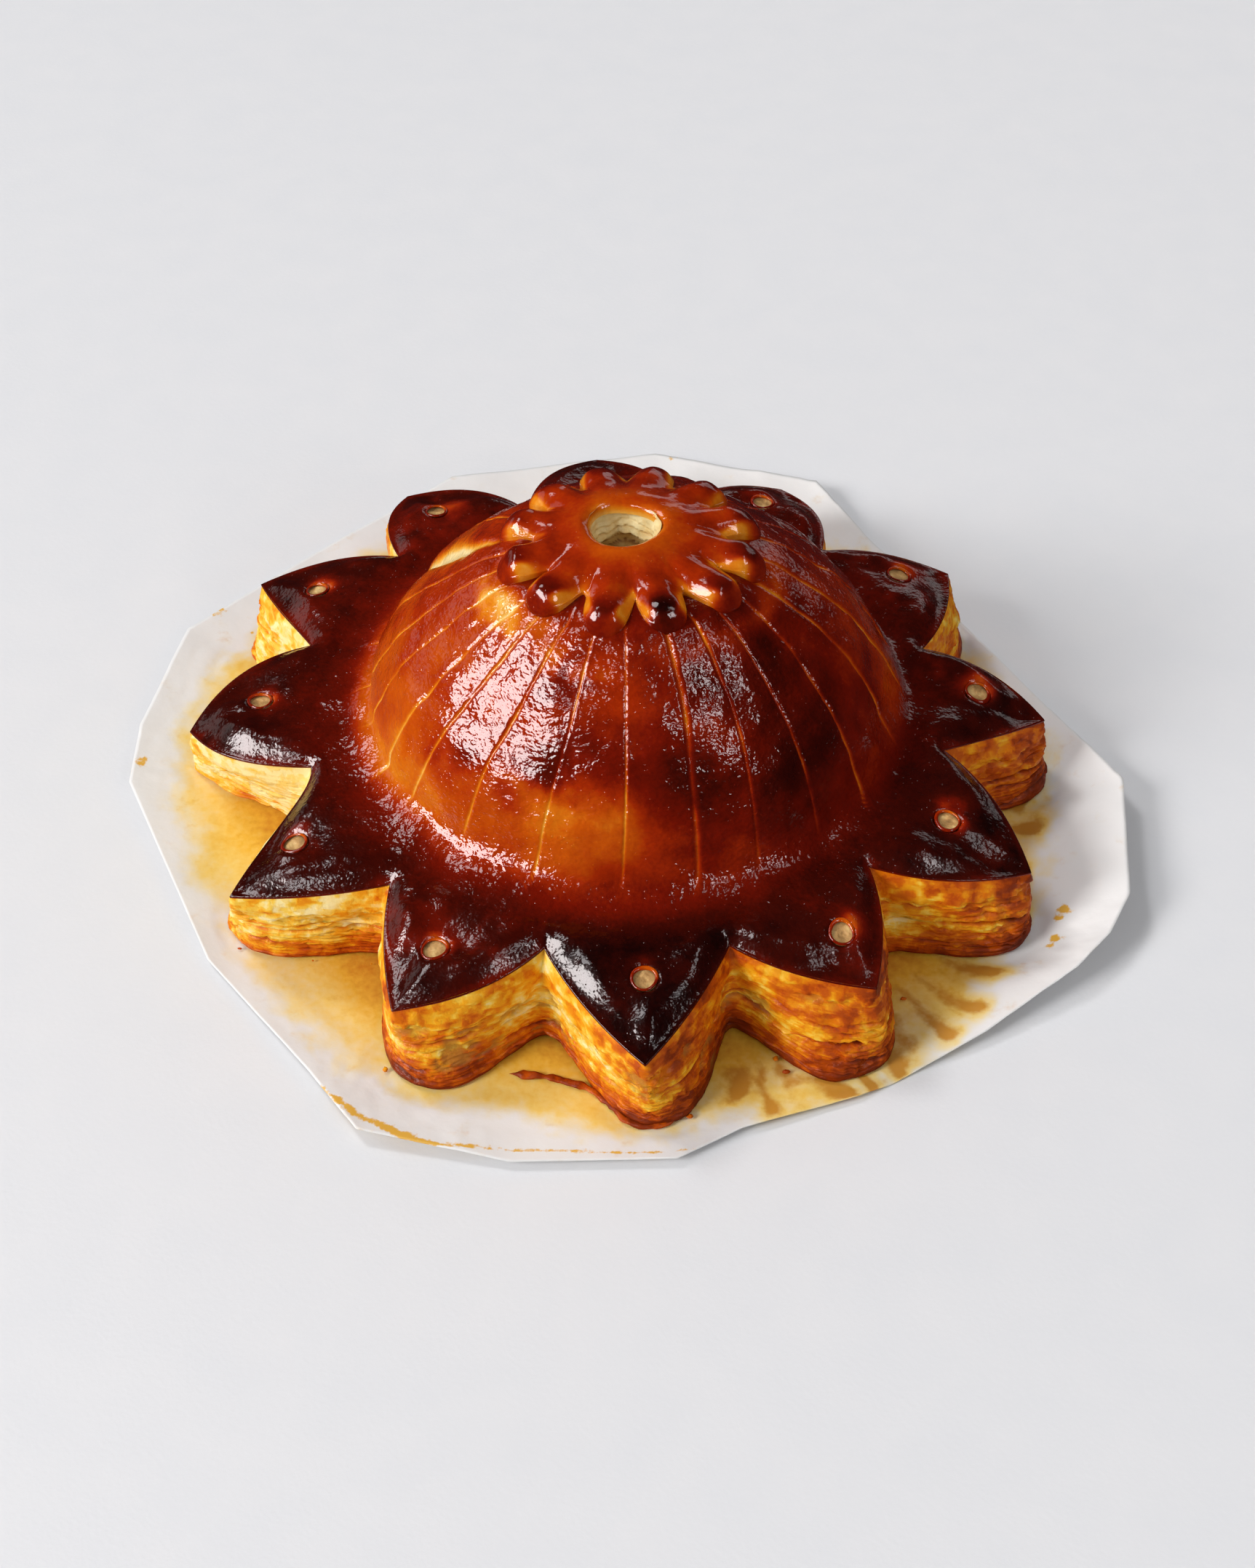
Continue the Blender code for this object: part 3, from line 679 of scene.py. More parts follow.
def makeSides():
    rows = sides["rows"]
    k = np.linspace(0.0, 1.0, rows)
    x, y = wallBase(k)
    outX, outY = outward(x, y)
    height = baseHeight + k[:, None] * (edgeHeight - baseHeight)
    plan = np.stack([x, y, height], axis=-1)
    k = k[:, None] + 0.0 * x
    upMm = k * (edgeHeight - baseHeight) / mm

    # two sheets of dough, each a soft bulge, with a slot where they part, painted dark as shade
    flat = plan * [1, 1, 0]
    line = sides["gap"] + 0.05 * mottle(flat, 0.20, 51) + 0.02 * mottle(flat, 0.04, 52)
    parted = np.clip(0.55 + 0.75 * mottle(flat, 0.17, 53), 0.0, 1.2)
    above = k > line
    u = np.where(above, (k - line) / (1.0 - line), k / line)
    bulge = np.where(above, 0.8, 0.55) * np.sin(np.pi * np.clip(u, 0, 1))
    bulge = bulge - np.where(above, 0.0, 0.5) * smooth(0.0, 0.5, u)
    slot = parted * 1.8 * bell(k - line, 0.022)
    for level, amount, seed in sides["slots"]:
        wavy = level + 0.06 * mottle(flat, 0.14, seed) + 0.015 * mottle(flat, 0.03, seed + 5)
        slot = slot + amount * bell(k - wavy, 0.014) * smooth(0.0, 0.5, mottle(flat, 0.09, seed + 9))

    # under the glaze a blistered skin hangs to a ragged hem; below it the torn leaves lie deeper
    hem = sides["hem"] + 0.09 * mottle(flat, 0.16, 66) + 0.06 * mottle(flat, 0.035, 67)
    hem = hem + 0.03 * mottle(flat, 0.012, 68) + 0.10 * smooth(0.5, 1.0, towardTip)
    skin = smooth(-0.012, 0.012, k - hem)
    spots = smooth(0.20, 0.45, mottle(plan, 0.030, 84, 1)) * skin  # small pale bubbles
    blisters = 0.34 * mottle(plan * [1, 1, 1.5], 0.060, 59)
    blisters = blisters + 0.26 * np.abs(mottle(plan * [1, 1, 1.4], 0.026, 60))

    # leaves: saw-toothed steps of random strength along wavy lines, with thinner sheets at the foot
    wander = upMm + 1.6 * mottle(plan * [1, 1, 0.25], 0.13, 54)
    leaf = (wander + 0.5 * mottle(plan * [1, 1, 0.4], 0.03, 55)) / sides["leafMm"]
    number, within = np.floor(leaf), leaf - np.floor(leaf)
    whole = number.astype(np.int64)
    strength = 0.5 + 0.5 * lattice(whole, 0 * whole + 3, 0 * whole, 56)
    strength = strength * np.clip(0.65 + 0.9 * mottle(plan * [1, 1, 0.5], 0.06, 57), 0.05, 1.4)
    flaky = 1.0 - 0.93 * skin
    low = smooth(0.46, 0.30, k)
    sheet = (upMm + 0.9 * mottle(flat, 0.11, 78) + 0.25 * mottle(flat, 0.03, 79)) / sides["sheetMm"]
    sheets = (1.0 - (sheet - np.floor(sheet))) ** 0.7
    sheets = sheets * low * np.clip(0.8 + 0.7 * mottle(plan, 0.05, 80), 0.0, 1.4)
    flakes = strength * flaky * (0.45 * (1.0 - within) ** 0.6 - 0.35 * bell(within - 0.97, 0.10))
    # torn crumb behind a lace of threads, and a ragged brim that spreads on the paper
    lace = np.abs(mottle(plan * [1.0, 1.0, 1.3], 0.030, 69))
    torn = smooth(0.12, 0.30, mottle(plan * [1.0, 1.0, 1.5], 0.045, 61, 3))
    torn = torn * (1.0 - skin) * smooth(0.0, 0.14, k) * smooth(0.0, 0.30, lace)
    ragged = mottle(flat, 0.05, 75)
    brim = (0.45 + 0.55 * mottle(flat, 0.045, 83)) * smooth(0.085, 0.060, k - 0.02 * ragged)
    grain = mottle(plan, 0.008, 62) * 0.06
    fold = smooth(0.0, 0.10, towardTip)  # the notches stay tight
    out = bulge + flakes + 0.3 * spots + blisters * (0.35 + 0.65 * skin) - 0.75 * torn + brim
    out = out + 0.60 * sheets + grain - 0.55 * (1.0 - skin) * smooth(0.0, 0.3, k)
    out = out * (0.35 + 0.65 * fold) * (0.45 + 0.55 * smooth(0.0, 0.25, k)) - slot
    out = out * (1.0 - smooth(0.90, 0.995, k)) * mm
    x, y = x + outX * out, y + outY * out

    # browning: pale in the notches, golden up the sides, orange-brown at the tips, foot and blisters; on
    # top of it painted shade in the slots, and painted light and shade by the way each side faces the
    # key light
    tip = towardTip + 0.0 * k
    bake = sides["tone"] + 0.08 * smooth(0.15, 0.9, tip) + 0.10 * smooth(0.45, 1.0, tip) * skin
    bake = bake + 0.06 * mottle(plan, 0.12, 63) + 0.05 * mottle(plan, 0.045, 70)
    bake = bake + smooth(0.2, 0.6, tip) * skin * azimuthTones(sides["skinTones"])
    pale = bell(k - 0.42 - 0.10 * mottle(flat, 0.10, 73), 0.15)
    bake = bake - 0.15 * pale * np.clip(0.6 + 0.8 * mottle(plan, 0.10, 74), 0.0, 1.3)
    patch = smooth(-0.06, 0.08, mottle(plan * (1.0, 1.0, 1.1), 0.062, 64, 3))
    bake = bake + (0.13 * patch - 0.05) * (0.5 + 0.5 * skin) - 0.12 * spots
    fleck = smooth(0.18, 0.28, mottle(plan * [1, 1, 1.5], 0.030, 76, 2))
    bake = bake - 0.09 * fleck * (1.0 - 0.8 * smooth(0.4, 0.1, k))
    hemLine = bell(k - hem - 0.012, 0.016) * (0.5 + 0.6 * mottle(plan, 0.05, 72))
    bake = bake + 0.03 * smooth(0.20, 0.0, tip) - 0.14 * hemLine
    bake = bake - 0.12 * bell(lace - 0.02, 0.05) * (1.0 - skin)
    bake = bake + 0.05 * lattice(whole, 0 * whole, 0 * whole + 9, 65) * flaky
    rim = smooth(0.115, 0.070, k - 0.03 * ragged)
    lowBake = 0.17 * smooth(0.46, 0.10, k) + 0.05 * rim + 0.16 * smooth(0.045, 0.0, k)
    # painted light: the left sides, which face the key light, get less of the darker foot
    bake = bake + lowBake * (1.0 - 0.75 * bell(around(footAzimuth, -186.0), 32.0))
    # painted shade: darker in the slots where the sheets part
    bake = bake + 0.22 * np.clip(slot, 0, 1) - 0.10 * (sheets - 0.4) * low
    # painted shade on the right front sides, away from the key light, on top of their browning
    right = smooth(66.0, 28.0, np.abs(around(footAzimuth, -22.0)))
    bake = bake + sides["rightBakeAndShade"] * right * (0.5 + 0.5 * smooth(0.1, 0.5, tip))
    bake = bake + 0.12 * bell(around(footAzimuth, -122.0), 30.0) * smooth(0.55, 0.15, k)
    # painted light and shade by the way each side faces, with the browning of its petal
    bake = bake + azimuthTones(sides["tones"]) + 0.10 * smooth(0.985, 1.0, k)
    film = torn * smooth(-0.1, 0.25, mottle(plan, 0.10, 77)) * bell(around(footAzimuth, -95.0), 45.0)

    # the base: a small turn, then flat to the middle
    flatX, flatY = onPlan(footAzimuth, np.stack([0.5 * footReach, footReach - 0.010]))
    foot = baseHeight + np.zeros(flatX.shape)
    x, y = np.concatenate([flatX, x]), np.concatenate([flatY, y])
    height = np.concatenate([foot, height + 0.25 * mm * bell(k, 0.02)])
    bake = np.concatenate([0.45 + 0.0 * foot, bake])
    flaky = np.append(np.concatenate([0.0 * foot + 1.0, flaky]), 1.0)
    film = np.append(np.concatenate([0.0 * foot, film]), 0.0)
    fan = fanFaces(0, columnCount, len(x) * columnCount)
    middle = place(0.0, 0.0, baseHeight).reshape(-1, 3)
    points = np.concatenate([place(x, y, height).reshape(-1, 3), middle])
    piece = newMesh("cutSides", points, [gridFaces(len(x), columnCount), fan], {
        "bake": np.append(np.clip(bake, 0.02, 0.9), 0.4), "flaky": flaky, "film": film}, flip=True)
    print("cut sides:", len(piece.data.polygons), "faces")
    return piece, (x[2:], y[2:], height[2:], bake[2:], outX, outY)


toasting = [  # unglazed sides, pale to dark
    (0.00, (0.88, 0.73, 0.34)), (0.13, (0.87, 0.56, 0.07)), (0.25, (0.82, 0.36, 0.010)),
    (0.38, (0.69, 0.175, 0.003)), (0.52, (0.49, 0.074, 0.0016)), (0.68, (0.24, 0.028, 0.0012)),
    (1.00, (0.07, 0.008, 0.001)),
]


crumbing = [  # unglazed dough inside the vent and the pricked holes; its dark end is painted shade deep in the vent
    (0.00, (0.88, 0.76, 0.42)), (0.25, (0.78, 0.57, 0.24)), (0.50, (0.54, 0.31, 0.115)),
    (0.75, (0.24, 0.13, 0.045)), (1.00, (0.06, 0.03, 0.012)),
]


def doughMaterial(name, tones, layered=True):
    # colour: a ramp at bake plus blotches and grain, tan where a thin film of dough shows
    # height: leaves that follow the level where it is flaky, blotches and grain
    dough = Recipe(name, 0.42, IOR=1.18)
    bake = dough.trait("bake")
    patches = dough.noise(330.0, 3.0)
    blotch = patches.rise(0.40, 0.58)
    grain = dough.noise(1500.0, 3.0)
    layers = dough.noise(420.0, 3.0, dough.squeezed(1.0, 1.0, 3.0))
    flaky = dough.trait("flaky") if layered else 0.6
    tone = bake + (layers - 0.5) * 0.08 * flaky + (blotch - 0.5) * 0.11 + (grain - 0.5) * 0.06
    colour = dough.ramp(tone, tones)
    if layered:
        colour = dough.blend(dough.trait("film") * 0.75, colour, (0.44, 0.20, 0.030, 1.0))
    skin = layers * flaky * 0.5 + blotch * 0.16 + patches * 0.4 + grain * 0.2
    rough = patches.rise(0.35, 0.7, 0.30, 0.55)
    return dough.feed(Base_Color=colour, Normal=dough.bumped(skin, 0.0006, 0.8), Roughness=rough)


# thin leaves that stand out of the cut sides
leaves = {
    "count": 150, "along": 20, "thickMm": 0.16, "seed": 7,
    # a leaf's section: how far out, and its upper or lower side
    "section": [(-0.9, 1), (0.45, 1), (1.0, 0.6), (1.0, -0.6), (0.45, -1), (-0.9, -1)],
}


def bilinear(grid, row, column):  # between the four nearest points, round the columns
    i, j = np.floor(row).astype(int), np.floor(column).astype(int)
    a, b = row - i, column - j
    i, after = np.clip(i, 0, len(grid) - 2), (j + 1) % grid.shape[1]
    j = j % grid.shape[1]
    left = grid[i, j] * (1 - a) + grid[i + 1, j] * a
    right = grid[i, after] * (1 - a) + grid[i + 1, after] * a
    return left * (1 - b) + right * b


def makeLeaves(wall):
    # each leaf is a thin flat strip along the side, 1 - (2u - 1)^4 wide, with a ragged drooping edge
    rng = np.random.default_rng(leaves["seed"])
    count, along = leaves["count"], leaves["along"]
    start = rng.uniform(0, columnCount, count)[:, None]
    length = rng.uniform(6.0, 26.0, count)[:, None]
    level = (0.03 + 0.66 * rng.beta(1.2, 1.7, count))[:, None]
    tilt = rng.normal(0.0, 0.025, count)[:, None]
    wide = rng.uniform(0.25, 1.25, count)[:, None]
    u = np.linspace(0.0, 1.0, along)
    column = start + length * u
    row = np.clip(level + tilt * (u - 0.5) + 0.008 * np.sin(9.0 * u + start), 0.01, 0.93)
    row = row * (len(wall[0]) - 1)
    x, y, height, bake, outX, outY = (bilinear(grid, row, column) for grid in wall)
    plan = np.stack([x, y, height], axis=-1)
    ragged = 0.75 + 0.55 * mottle(plan, 0.020, 81)
    reachOut = wide * (1.0 - (2.0 * u - 1.0) ** 4) * np.clip(ragged, 0.1, 1.5)
    taper = np.clip(6.0 * np.minimum(u, 1.0 - u) + 0.05, 0.0, 1.0)
    points, tone = [], []
    for out, side in leaves["section"]:
        push = (np.where(out < 0, out, out * reachOut)) * mm
        drop = (-0.30 * reachOut * max(out, 0.0) ** 2 + side * leaves["thickMm"] * taper) * mm
        points.append(place(x + outX * push, y + outY * push, height + drop))
        tone.append(bake + 0.10 * max(out, 0.0) + 0.08 * mottle(plan, 0.05, 82) - 0.04)
    points, tone = np.stack(points, axis=2), np.stack(tone, axis=2)  # leaf, along, section
    ring = len(leaves["section"])
    faces = repeated(tubeFaces(along, ring), count, along * ring)
    piece = newMesh("flakyLeaves", points, faces, {"bake": np.clip(tone, 0.03, 0.9)}, flip=True)
    print("leaves:", count)
    return piece


holes = {
    "ringColumns": 36, "tubeColumns": 10, "rimMm": 0.42,
    "floorRows": 12, "floorMm": 0.60, "dishMm": 0.25, "floorTone": 0.52,
    "rimTone": 0.70, "paleAt": 1.1, "paleRun": 1.2, "palerBy": 0.26,  # where the rim is palest
    "nearMm": 3.4, "farMm": 5.2,  # the ring of crust that a hole's plane is fitted to
}


def holePlanes(crustPiece):
    # centre of each hole and the plane z = a + b dx + c dy through the crust round it
    count = len(crustPiece.data.vertices)
    points = np.empty(count * 3, np.float32)
    crustPiece.data.vertices.foreach_get("co", points)
    points = points.reshape(-1, 3).astype(float)
    for eyeX, eyeY in zip(*eyeletCentres()):
        centre = place(eyeX, eyeY, 0.0)
        away = points - centre
        apart = np.hypot(away[:, 0], away[:, 1]) * 1000.0
        near = away[(apart > holes["nearMm"]) & (apart < holes["farMm"])]
        flat = np.stack([np.ones(len(near)), near[:, 0], near[:, 1]], axis=-1)
        yield centre, np.linalg.lstsq(flat, near[:, 2], rcond=None)[0]


def makeHoles(crustPiece):
    # rim: a thin torus of wavering width laid on the plane; floor: a dished disc with lumps, darker
    # round its edge as painted shade
    turn = np.linspace(0.0, 2.0 * np.pi, holes["ringColumns"], endpoint=False)
    b = np.linspace(0.0, 2.0 * np.pi, holes["tubeColumns"], endpoint=False)[:, None]
    rows = holes["floorRows"]
    part = np.linspace(1.0, 0.04, rows)[:, None]
    rims, floors, tones, rimTones = [], [], [], []
    radius = crust["eyeletMm"] / 1000.0
    for number, (centre, plane) in enumerate(holePlanes(crustPiece)):
        wobble = 1.0 + 0.04 * np.sin(2 * turn + number) + 0.03 * np.sin(3 * turn + 2.0 * number)
        tube = holes["rimMm"] / 1000.0 * (1.0 + 0.25 * np.sin(turn + 1.7 * number))
        far = radius * wobble + tube * np.cos(b)
        x, y = far * np.cos(turn), far * np.sin(turn)
        z = plane[0] + plane[1] * x + plane[2] * y + tube * (np.sin(b) * 0.9 - 0.35)
        rims.append(centre + np.stack([x, y, z], axis=-1))
        pale = bell(turn - holes["paleAt"], holes["paleRun"])
        rimTones.append(holes["rimTone"] - holes["palerBy"] * pale + 0.0 * x)
        x, y = part * radius * 1.06 * np.cos(turn), part * radius * 1.06 * np.sin(turn)
        spot = np.stack([x, y, 0.0 * x + number], axis=-1)
        lump = (0.22 * mottle(spot, 0.0016, 91) + 0.10 * mottle(spot, 0.0006, 92)) * (1 - part**4)
        dish = (lump - holes["floorMm"] - holes["dishMm"] * (1 - part**2)) / 1000.0
        z = plane[0] + plane[1] * x + plane[2] * y + dish
        floors.append(centre + np.stack([x, y, z], axis=-1))
        # painted shade: the floor is darker round its edge, under the rim
        edge = 0.22 * smooth(0.72, 1.0, part)
        tones.append(holes["floorTone"] - 0.16 * mottle(spot, 0.0018, 93) + edge)
    columns = len(turn)
    last = np.arange((len(b) - 1) * columns, len(b) * columns)
    first = np.arange(columns)
    closing = np.stack([last, np.roll(last, -1), np.roll(first, -1), first], axis=-1)
    tube = np.concatenate([gridFaces(len(b), columns), closing])
    rim = newMesh("holeRims", np.stack(rims), repeated(tube, petals, len(b) * columns), {
        "bake": np.stack(rimTones)})
    disc = np.concatenate([gridFaces(rows, columns), capFaces((rows - 1) * columns, columns)])
    floor = newMesh("holeFloors", np.stack(floors), repeated(disc, petals, rows * columns), {
        "bake": np.clip(np.stack(tones), 0.02, 0.9)})
    print("holes:", petals)
    return rim, floor


rosette = {
    "fingers": 12, "step": 30.0, "start": -73.0, "columns": 64, "rows": 34, "shift": (0.027, 0.020),
    "tipReach": 0.299, "webReach": 0.204, "ventReach": 0.073, "ventShift": (0.012, 0.015),
    # half a finger: degrees off its axis and part of the way from the web to the tip
    "side": [(0.0, 1.0), (4.9, 0.965), (8.2, 0.83), (10.5, 0.59), (12.3, 0.33), (13.8, 0.11),
             (15.0, 0.0)],
    # each finger's turn and its length
    "turns": [0.5, -1.0, 0.8, -0.6, 1.2, 0.0, 0.6, -0.8, 0.4, -0.5, 0.9, -1.2],
    "lengths": [0.97, 1.03, 1.0, 1.02, 0.98, 0.94, 0.90, 0.90, 0.94, 1.0, 1.03, 1.0],
    "thickMm": 3.5, "roundMm": 4.6, "valleyMm": 1.5, "ridgeMm": 0.6,
    # the vent's lip, turned in and down: step in, drop in mm, browning
    "lip": [(-0.011, -2.4, 0.16), (-0.009, -1.1, 0.30), (-0.004, -0.35, 0.44)],
    "flatten": 0.12,  # how much narrower the vent is from front to back
    "tone": 0.585, "tipTone": 0.22, "goldTone": 0.40,
}


def domeTop(x, y):  # the crust's own height under a point near the crown
    away = np.hypot(x, y)
    for _ in range(4):
        leanX, leanY = domeLean(away)
        away = np.hypot(x - leanX, y - leanY)
    profile = np.array(crust["dome"][::-1])
    return np.interp(away, profile[:, 0], profile[:, 1])


def fingerAxes():
    return rosette["start"] - rosette["step"] * np.arange(rosette["fingers"]) - rosette["turns"]


def rosetteOutline():
    # (azimuth, reach), clockwise, in even steps of length, a little softened
    side = np.array(rosette["side"])
    azimuth, far = [], []
    for axis, length in zip(fingerAxes(), rosette["lengths"]):
        for mirror, half in ((1.0, side[::-1]), (-1.0, side[1:-1])):
            azimuth.append(axis + mirror * half[:, 0])
            out = half[:, 1] * length
            far.append(rosette["webReach"] + (rosette["tipReach"] - rosette["webReach"]) * out)
    azimuth, far = np.concatenate(azimuth), np.concatenate(far)
    azimuth = np.concatenate([azimuth, azimuth[:1] - 360.0])
    far = np.concatenate([far, far[:1]])
    x, y = onPlan(azimuth, far)
    run = np.concatenate([[0.0], np.cumsum(np.hypot(np.diff(x), np.diff(y)))])
    total = rosette["fingers"] * rosette["columns"]
    even = np.linspace(0.0, run[-1], total, endpoint=False)
    azimuth, far = np.interp(even, run, azimuth), np.interp(even, run, far)
    window = bell(np.arange(-5, 6), 2.6)
    window /= window.sum()
    return [
        np.convolve(np.concatenate([line[-5:] + turn, line, line[:5] - turn]), window, "valid")
        for line, turn in ((azimuth, 360.0), (far, 0.0))
    ]


def makeRosette():
    azimuth, far = rosetteOutline()
    q = 1.0 - (1.0 - np.arange(rosette["rows"]) / (rosette["rows"] - 1.0)) ** 1.8
    lip = rosette["ventReach"] + 0.012 + 0.004 * np.sin(3 * np.radians(azimuth) + 1.0)
    q = q[:, None]
    near = 1.0 - q
    radius = lip + (far - lip) * q
    x, y = onPlan(azimuth, radius)
    (shiftX, shiftY), (ventX, ventY) = rosette["shift"], rosette["ventShift"]
    x = x + shiftX * q + ventX * near
    y = y * (1.0 - rosette["flatten"] * near**3) + shiftY * q + ventY * near
    apart = (x[:, :, None] - x[-1]) ** 2 + (y[:, :, None] - y[-1]) ** 2
    depth = np.sqrt(apart.min(axis=-1)) / mm
    # height over the crown: a quarter circle in from the edge, thicker toward the vent, with a
    # ridge along each finger and a valley between two
    run = np.clip(depth / rosette["roundMm"], 0.0, 1.0)
    body = np.sqrt(np.clip(1.0 - (1.0 - run) ** 2.0, 0.0, 1.0))
    plan = np.stack([x, y, 0.75 + 0.0 * x], axis=-1)
    thick = rosette["thickMm"] + 0.4 * smooth(0.16, 0.10, radius) + 1.1 * bell(radius - 0.262, 0.035)
    thick = thick - 0.15 * bell(radius - 0.200, 0.030)
    thick = thick + 0.35 * mottle(plan, 0.060, 101) + 0.10 * mottle(plan, 0.02, 102)
    off = np.abs(around(azimuth[:, None], fingerAxes())).min(axis=1)  # from the nearest axis
    thick = thick - rosette["valleyMm"] * smooth(5.0, 14.0, off) * smooth(0.125, 0.205, radius)
    thick = thick + rosette["ridgeMm"] * smooth(7.0, 0.0, off) * bell(radius - 0.215, 0.05)
    roundLip = 1.0 - 0.25 * (1.0 - smooth(0.0, 0.016, radius - lip)) ** 2
    height = domeTop(x, y) + mm * (0.55 + (thick - 0.45) * body * roundLip)
    # browning: dark ridges and tips, golden to cream low on the fingers' sides
    bake = rosette["tone"] + 0.05 * mottle(plan, 0.12, 103, 3) + 0.03 * mottle(plan, 0.04, 106)
    bake = bake + rosette["tipTone"] * smooth(0.19, 0.27, radius) * smooth(1.4, 3.6, depth)
    bake = bake + 0.12 * smooth(0.262, 0.290, radius)
    bake = bake + 0.20 * bell(np.hypot(x - 0.085, y + 0.235), 0.035)
    bake = bake + 0.07 * bell(radius - 0.172, 0.028) - 0.05 * bell(radius - 0.100, 0.022)
    gold = np.clip(0.90 + 0.8 * mottle(plan, 0.05, 104), 0.2, 1.5)
    wedge = smooth(0.0, 4.5, off - 13.5 + 105.0 * (radius - 0.172)) * smooth(0.170, 0.195, radius)
    wedge = wedge * (1.0 - 0.95 * smooth(0.250, 0.288, radius))
    bake = bake - rosette["goldTone"] * gold * wedge
    bake = bake - 0.20 * smooth(0.010, 0.0, radius - lip) * (0.6 + 0.4 * mottle(plan, 0.05, 105))
    bake = np.maximum(bake, 0.31 + 0.05 * mottle(plan, 0.03, 107))
    # the vent's lip turns in and down; the edge stands on the crown, its hidden skirt darker as painted
    # shade
    step, drop, lipTone = np.array(rosette["lip"]).T[:, :, None]
    lipX, lipY = onPlan(azimuth, lip + step)
    lipY = lipY * (1.0 - rosette["flatten"])
    lipZ = height[0] + drop * mm
    x = np.concatenate([lipX + ventX, x, x[-1:], x[-1:] * 0.985])
    y = np.concatenate([lipY + ventY, y, y[-1:], y[-1:] * 0.985])
    foot = domeTop(x[-1:], y[-1:])
    height = np.concatenate([lipZ, height, height[-1:] - 0.8 * mm, foot - 1.2 * mm])
    # painted shade: the skirt under the edge is darker, where it meets the crown
    bake = np.concatenate([lipTone + 0.0 * lipZ, bake, bake[-1:], bake[-1:] + 0.12])
    piece = newMesh("doughRosette", place(x, y, height), gridFaces(len(x), x.shape[1]), {
        "bake": np.clip(bake, 0.10, 0.99)})
    print("rosette:", len(piece.data.polygons), "faces")
    return piece


vent = {
    "columns": 150, "rows": 64, "top": 0.771, "floor": 0.612, "reach": 0.079,
    "leafRise": 0.0135, "shelf": 0.030,  # how far apart the torn leaves are, and how far in they stand
}


def makeVent():
    # a well whose wall is torn leaves: radius(down, azimuth) steps in and out on each leaf
    rows, columns = vent["rows"], vent["columns"]
    azimuth = -np.arange(columns) * 360.0 / columns
    down = np.linspace(0.0, 1.0, rows)[:, None]
    height = vent["top"] + (vent["floor"] - vent["top"]) * down
    ringX, ringY = onPlan(azimuth, 1.0)
    spot = np.stack(np.broadcast_arrays(ringX * 0.08, ringY * 0.08, height), axis=-1)
    leaf = (height + 0.012 * mottle(spot * [1, 1, 0], 0.06, 111)) / vent["leafRise"]
    number, within = np.floor(leaf).astype(np.int64), leaf - np.floor(leaf)
    shelf = 0.5 + 0.5 * lattice(number, 0 * number, 0 * number, 112)
    shelf = shelf * np.clip(0.7 + 0.9 * mottle(spot, 0.045, 113), 0.0, 1.5)
    tight = vent["reach"] - 0.006 * smooth(0.0, 0.2, down) + 0.005 * mottle(spot, 0.03, 114)
    tight = tight - vent["shelf"] * shelf * (1 - within) ** 0.5 * smooth(0.15, 0.4, down)
    hollow = smooth(0.35, 0.6, mottle(spot, 0.07, 116))
    tight = tight + 0.010 * hollow * smooth(0.3, 0.5, down)
    radius = tight * (1.0 - smooth(0.93, 1.0, down) * 0.94)
    ventX, ventY = rosette["ventShift"]
    # painted shade: dark under each leaf and toward the floor, over a little browning
    bake = 0.10 + 0.10 * mottle(spot, 0.03, 115) + 0.60 * smooth(0.40, 0.95, down)
    bake = bake + 0.36 * bell(within - 0.95, 0.16) * smooth(0.15, 0.5, down)
    bake = bake + 0.10 * bell(down, 0.05)
    wall = place(ringX * radius + ventX, ringY * radius + ventY, height)
    middle = place(ventX, ventY, vent["floor"])
    points = np.concatenate([wall.reshape(-1, 3), middle.reshape(-1, 3)])
    fan = fanFaces((rows - 1) * columns, columns, rows * columns, upward=False)
    piece = newMesh("ventWell", points, [gridFaces(rows, columns), fan], {
        "bake": np.append(np.clip(bake, 0.02, 0.9), 0.4)}, flip=True)
    print("vent:", len(piece.data.polygons), "faces")
    return piece


